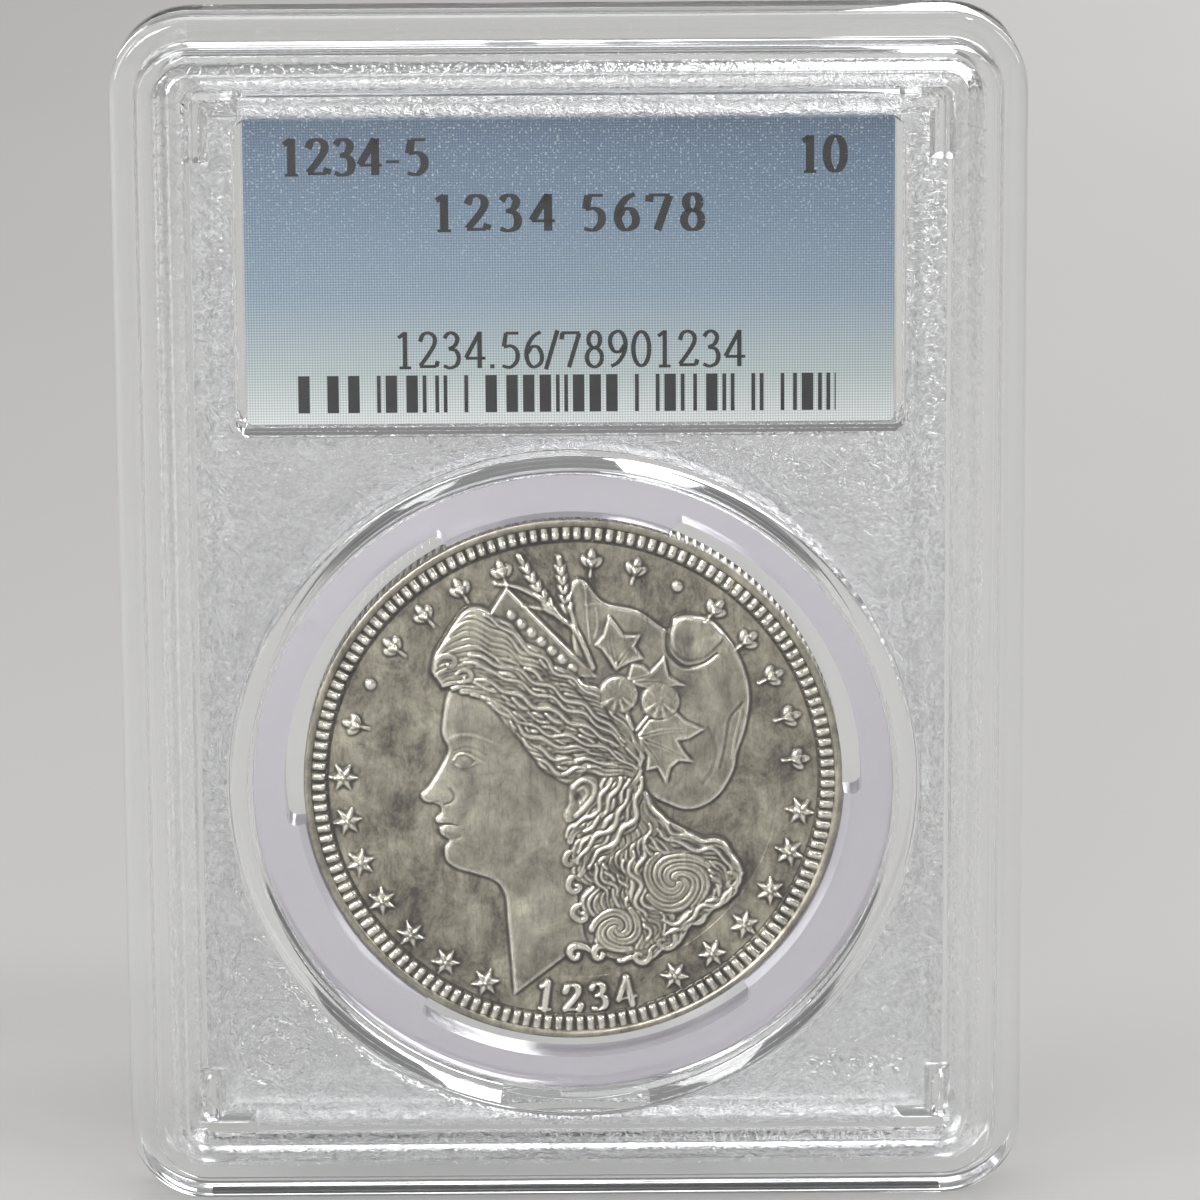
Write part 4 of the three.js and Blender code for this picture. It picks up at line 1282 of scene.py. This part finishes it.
def relief_disc(name, relief, wear_and_shade, side, count):
    """The middle of one face, as a closed solid on a square grid pressed into a disc."""
    b, a = np.mgrid[-1:1:(count + 1) * 1j, -1:1:(count + 1) * 1j]
    wide = np.abs(a) > np.abs(b)
    radius = np.where(wide, a, b)
    angle = np.pi / 4 * np.where(wide, b, a) / np.where(radius == 0, 1, radius)
    angle = np.where(wide, angle, np.pi / 2 - angle)
    x, z = SEAM_RADIUS * radius * np.cos(angle), SEAM_RADIUS * radius * np.sin(angle)
    index = np.arange((count + 1) ** 2).reshape(count + 1, count + 1)
    edge = np.concatenate([index[0, :-1], index[:-1, -1], index[-1, :0:-1], index[:0:-1, 0]])
    low = index.size + np.arange(len(edge))
    walls = np.stack([edge, low, np.roll(low, -1), np.roll(edge, -1)], -1)
    faces = quads(count + 1, count + 1, close_columns=False) + walls.tolist() + [low[::-1].tolist()]
    y = np.append(FIELD_Y + relief.at(x, z), np.full(len(edge), INNER_Y))
    values = np.append(wear_and_shade.at(x, z), np.zeros(len(edge)))
    x, z = np.append(x, x.flat[edge]), np.append(z, z.flat[edge])
    return grid_solid(name, x, z, y, side, faces, values)


def relief_border(name, relief, wear_and_shade, side, columns, rows):
    """The outer part of one face, as a closed ring that tucks under the middle."""
    radii = np.linspace(SEAM_RADIUS - 0.06, RELIEF_RADIUS, rows)
    angles = np.linspace(0, 2 * np.pi, columns, endpoint=False)
    r, a = np.meshgrid([*radii, radii[-1], radii[0]], angles, indexing="ij")
    x, z = r * np.cos(a), r * np.sin(a)
    y = FIELD_Y + relief.at(x, z)
    values = wear_and_shade.at(x, z)
    y[0] -= 0.03
    y[-2:] = INNER_Y
    values[-2:] = 0
    return ring_solid(name, x, z, y, side, values)


def smoothstep(value):
    t = np.clip(value, 0, 1)
    return t * t * (3 - 2 * t)


def rim_heights(radius, angle):
    """The denticles and the raised rim, above the field."""
    place = (angle / (2 * np.pi) * DENTICLES) % 1 - 0.5
    cap = np.sqrt(np.clip(1 - (place / 0.41) ** 2, 0, 1))
    ball = np.sqrt(np.clip(1 - ((radius - 17.82) / 0.34) ** 2, 0, 1))
    bar = 0.75 * smoothstep((radius - 17.6) / 0.3)
    bead = 0.34 * cap * np.maximum(ball, bar)
    return np.maximum(bead, RIM_HEIGHT * smoothstep((radius - 18.42) / 0.16))


def coin_rim():
    """The rim, denticles and reeded edge, as a closed ring."""
    angles = np.linspace(0, 2 * np.pi, 1890, endpoint=False)
    face = [
        RELIEF_RADIUS - 0.05, 17.44, 17.49, 17.54, 17.6, 17.7, 17.82, 17.94, 18.04, 18.12, 18.3,
        18.42, 18.48, 18.54, 18.6, 18.8, 18.93,
    ]
    reed = 0.5 - 0.5 * np.cos(angles * REEDS)
    rows = [(r, FIELD_Y + rim_heights(r, angles)) for r in face]
    rows += [
        (COIN_RADIUS - 0.05, COIN_HALF - 0.015),
        (COIN_RADIUS, COIN_HALF - 0.07),
        (COIN_RADIUS - REED_DEPTH * reed, COIN_HALF - 0.14),
    ]
    rows += [(r, -y) for r, y in reversed(rows)]
    radius, y = [np.array([value + 0 * angles for value in values]) for values in zip(*rows)]
    # Wear and painted shade on the rim: low by the field, so shade is painted into the gaps between the
    # denticles, and high on their tops. The rim's plateau and edge are kept toned.
    values = 0.05 + 0.95 * smoothstep((np.abs(y) - FIELD_Y) / RIM_HEIGHT)
    values -= 0.6 * smoothstep((radius - 18.4) / 0.1)
    # Painted shade in the grooves of the reeded edge, with rubbed silver on its ridges.
    values[len(face) + 2:len(face) + 4] = 0.35 + 0.5 * (1 - reed)
    return ring_solid("coin_rim", radius * np.cos(angles), radius * np.sin(angles), y, BACK, values)


def toned_silver():
    """Silver with a grey-brown film, darkened nearly to black in the recesses by toning and painted shade,
    and rubbed back to clean silver on the tops.
    """
    look = Look("toned_silver")
    cloud = look.noise(0.42, 10, 0.76, 0.3, look.scaled(look.place, (1, 1, 0.7)))
    film = look.gradient(look.ramp(cloud, 0.37, 0.64), [
        (0, (0.08, 0.069, 0.057)), (0.3, (0.19, 0.172, 0.134)),
        (0.6, (0.3, 0.277, 0.215)), (1, (0.47, 0.435, 0.335)),
    ])
    specks = look.ramp(look.noise(1.1, 7, 0.8), 0.57, 0.7, 0, 0.8)
    height = look.math("ABSOLUTE", look.part("Y"))
    raised = look.ramp(height, FIELD_Y + 0.03, FIELD_Y + 0.16, 0, 0.2)
    toned = look.mix(raised, look.mix(specks, film, (0.06, 0.055, 0.05)), (0.56, 0.54, 0.45))
    wear_and_shade = look.add("Attribute", {}, "Fac", attribute_name="wear_and_shade")
    rub_and_shade = look.math("ADD", wear_and_shade, look.ramp(cloud, 0.3, 0.7, -0.07, 0.07))
    # Painted shade in the recesses, on top of the real toning there: they are darkened nearly to black.
    grimy_and_shaded = look.mix(look.ramp(rub_and_shade, 0.08, 0.4, 0.85, 0), toned, (0.04, 0.035, 0.03))
    bright = look.mix(look.ramp(rub_and_shade, 0.44, 0.85, 0, 0.95), grimy_and_shaded, (0.95, 0.915, 0.81))
    streaks = look.noise(1, 4, 0.6, 0.4, look.scaled(look.place, (6, 6, 0.7)))
    colour = look.mix(look.ramp(streaks, 0.56, 0.72, 0, 0.5), bright, (0.09, 0.082, 0.07))
    grain = look.bump(look.noise(4, 4, 0.6), 0.014, look.bump(streaks, 0.008))
    return look.finish(colour, look.ramp(rub_and_shade, 0.25, 1, 0.34, 0.19), grain, Metallic=1.0)


def coin():
    silver = toned_silver()
    pieces = [coin_rim()]
    for draw, side, count in ((obverse, FRONT, 400), (reverse, BACK, 240)):
        relief = draw()
        wear_and_shade = wear_and_shade_map(relief)
        name = "coin_" + draw.__name__
        pieces.append(relief_disc(name + "_centre", relief, wear_and_shade, side, count))
        pieces.append(relief_border(name + "_border", relief, wear_and_shade, side, 4 * count, count // 11))
    for piece in pieces:
        finish_piece(piece, "coin", "toned_silver", silver)
    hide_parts("coin")


coin()

# ---- floor, light and camera


def floor():
    half = 6000
    points = [(-half, -half, 0), (half, -half, 0), (half, half, 0), (-half, half, 0)]
    obj = new_object("floor", points, [(0, 1, 2, 3)])
    look = Look("floor")
    tone = look.ramp(look.noise(0.01), 0, 1, 0.97, 1.03)
    obj.data.materials.append(look.finish(look.scaled((0.43, 0.423, 0.412), tone), 0.7))


def area_light(name, place, target, size, power):
    """A rectangular lamp in millimetres and watts, facing its target."""
    lamp = bpy.data.lights.new(name, "AREA")
    lamp.shape = "RECTANGLE"
    lamp.size, lamp.size_y = size[0] * MM, size[1] * MM
    lamp.energy = power
    obj = bpy.data.objects.new(name, lamp)
    obj.location = Vector(place) * MM
    obj.rotation_euler = (Vector(target) - Vector(place)).to_track_quat("-Z", "Y").to_euler()
    bpy.context.scene.collection.objects.link(obj)


def world():
    studio = bpy.data.worlds.new("studio")
    bpy.context.scene.world = studio
    nodes = Nodes(studio)
    height = nodes.add("SeparateXYZ", {0: nodes.add("TexCoord", {}, "Generated")}, "Z")
    colour = nodes.ramp(height, -0.05, 0.8, 0.32, 1)
    nodes.set(nodes.tree.nodes["Background"], {"Color": colour, "Strength": 0.42})


def camera():
    azimuth, elevation, roll = [math.radians(angle) for angle in (0.312, 14.353, -0.337)]
    distance = 504.7
    target = Vector((1.99, 0, 43.47))
    level = math.cos(elevation)
    back = Vector((-math.sin(azimuth) * level, -math.cos(azimuth) * level, math.sin(elevation)))
    lens = bpy.data.cameras.new("camera")
    lens.sensor_width = 36.0
    lens.lens = 214.7
    lens.clip_start = 0.01
    lens.clip_end = 100.0
    obj = bpy.data.objects.new("camera", lens)
    obj.location = (target + back * distance) * MM
    facing = (-back).to_track_quat("-Z", "Y").to_matrix() @ Matrix.Rotation(roll, 3, "Z")
    obj.rotation_euler = facing.to_euler()
    bpy.context.scene.collection.objects.link(obj)
    bpy.context.scene.camera = obj


def picture_settings():
    """A plain view of the colours, no caustics, and enough bounces for the stacked clear walls."""
    scene = bpy.context.scene
    scene.view_settings.view_transform = "Standard"
    scene.cycles.caustics_reflective = False
    scene.cycles.caustics_refractive = False
    scene.cycles.max_bounces = 24
    scene.cycles.glossy_bounces = 16
    scene.cycles.transmission_bounces = 24


floor()
world()
area_light("top_softbox", (-80, 100, 760), (0, 60, 0), (560, 360), 2.6)
area_light("key_softbox", (-250, -700, 210), (0, 0, 45), (240, 160), 2.6)
area_light("glint_lamp", (240, -320, 560), (0, 0, 45), (60, 60), 0.8)
area_light("left_softbox", (-460, -260, 240), (0, 0, 40), (160, 320), 1.3)
area_light("right_softbox", (460, -200, 300), (0, 0, 40), (120, 300), 0.9)
area_light("rear_softbox", (200, 660, 260), (0, 0, 45), (300, 200), 1.1)
picture_settings()
camera()
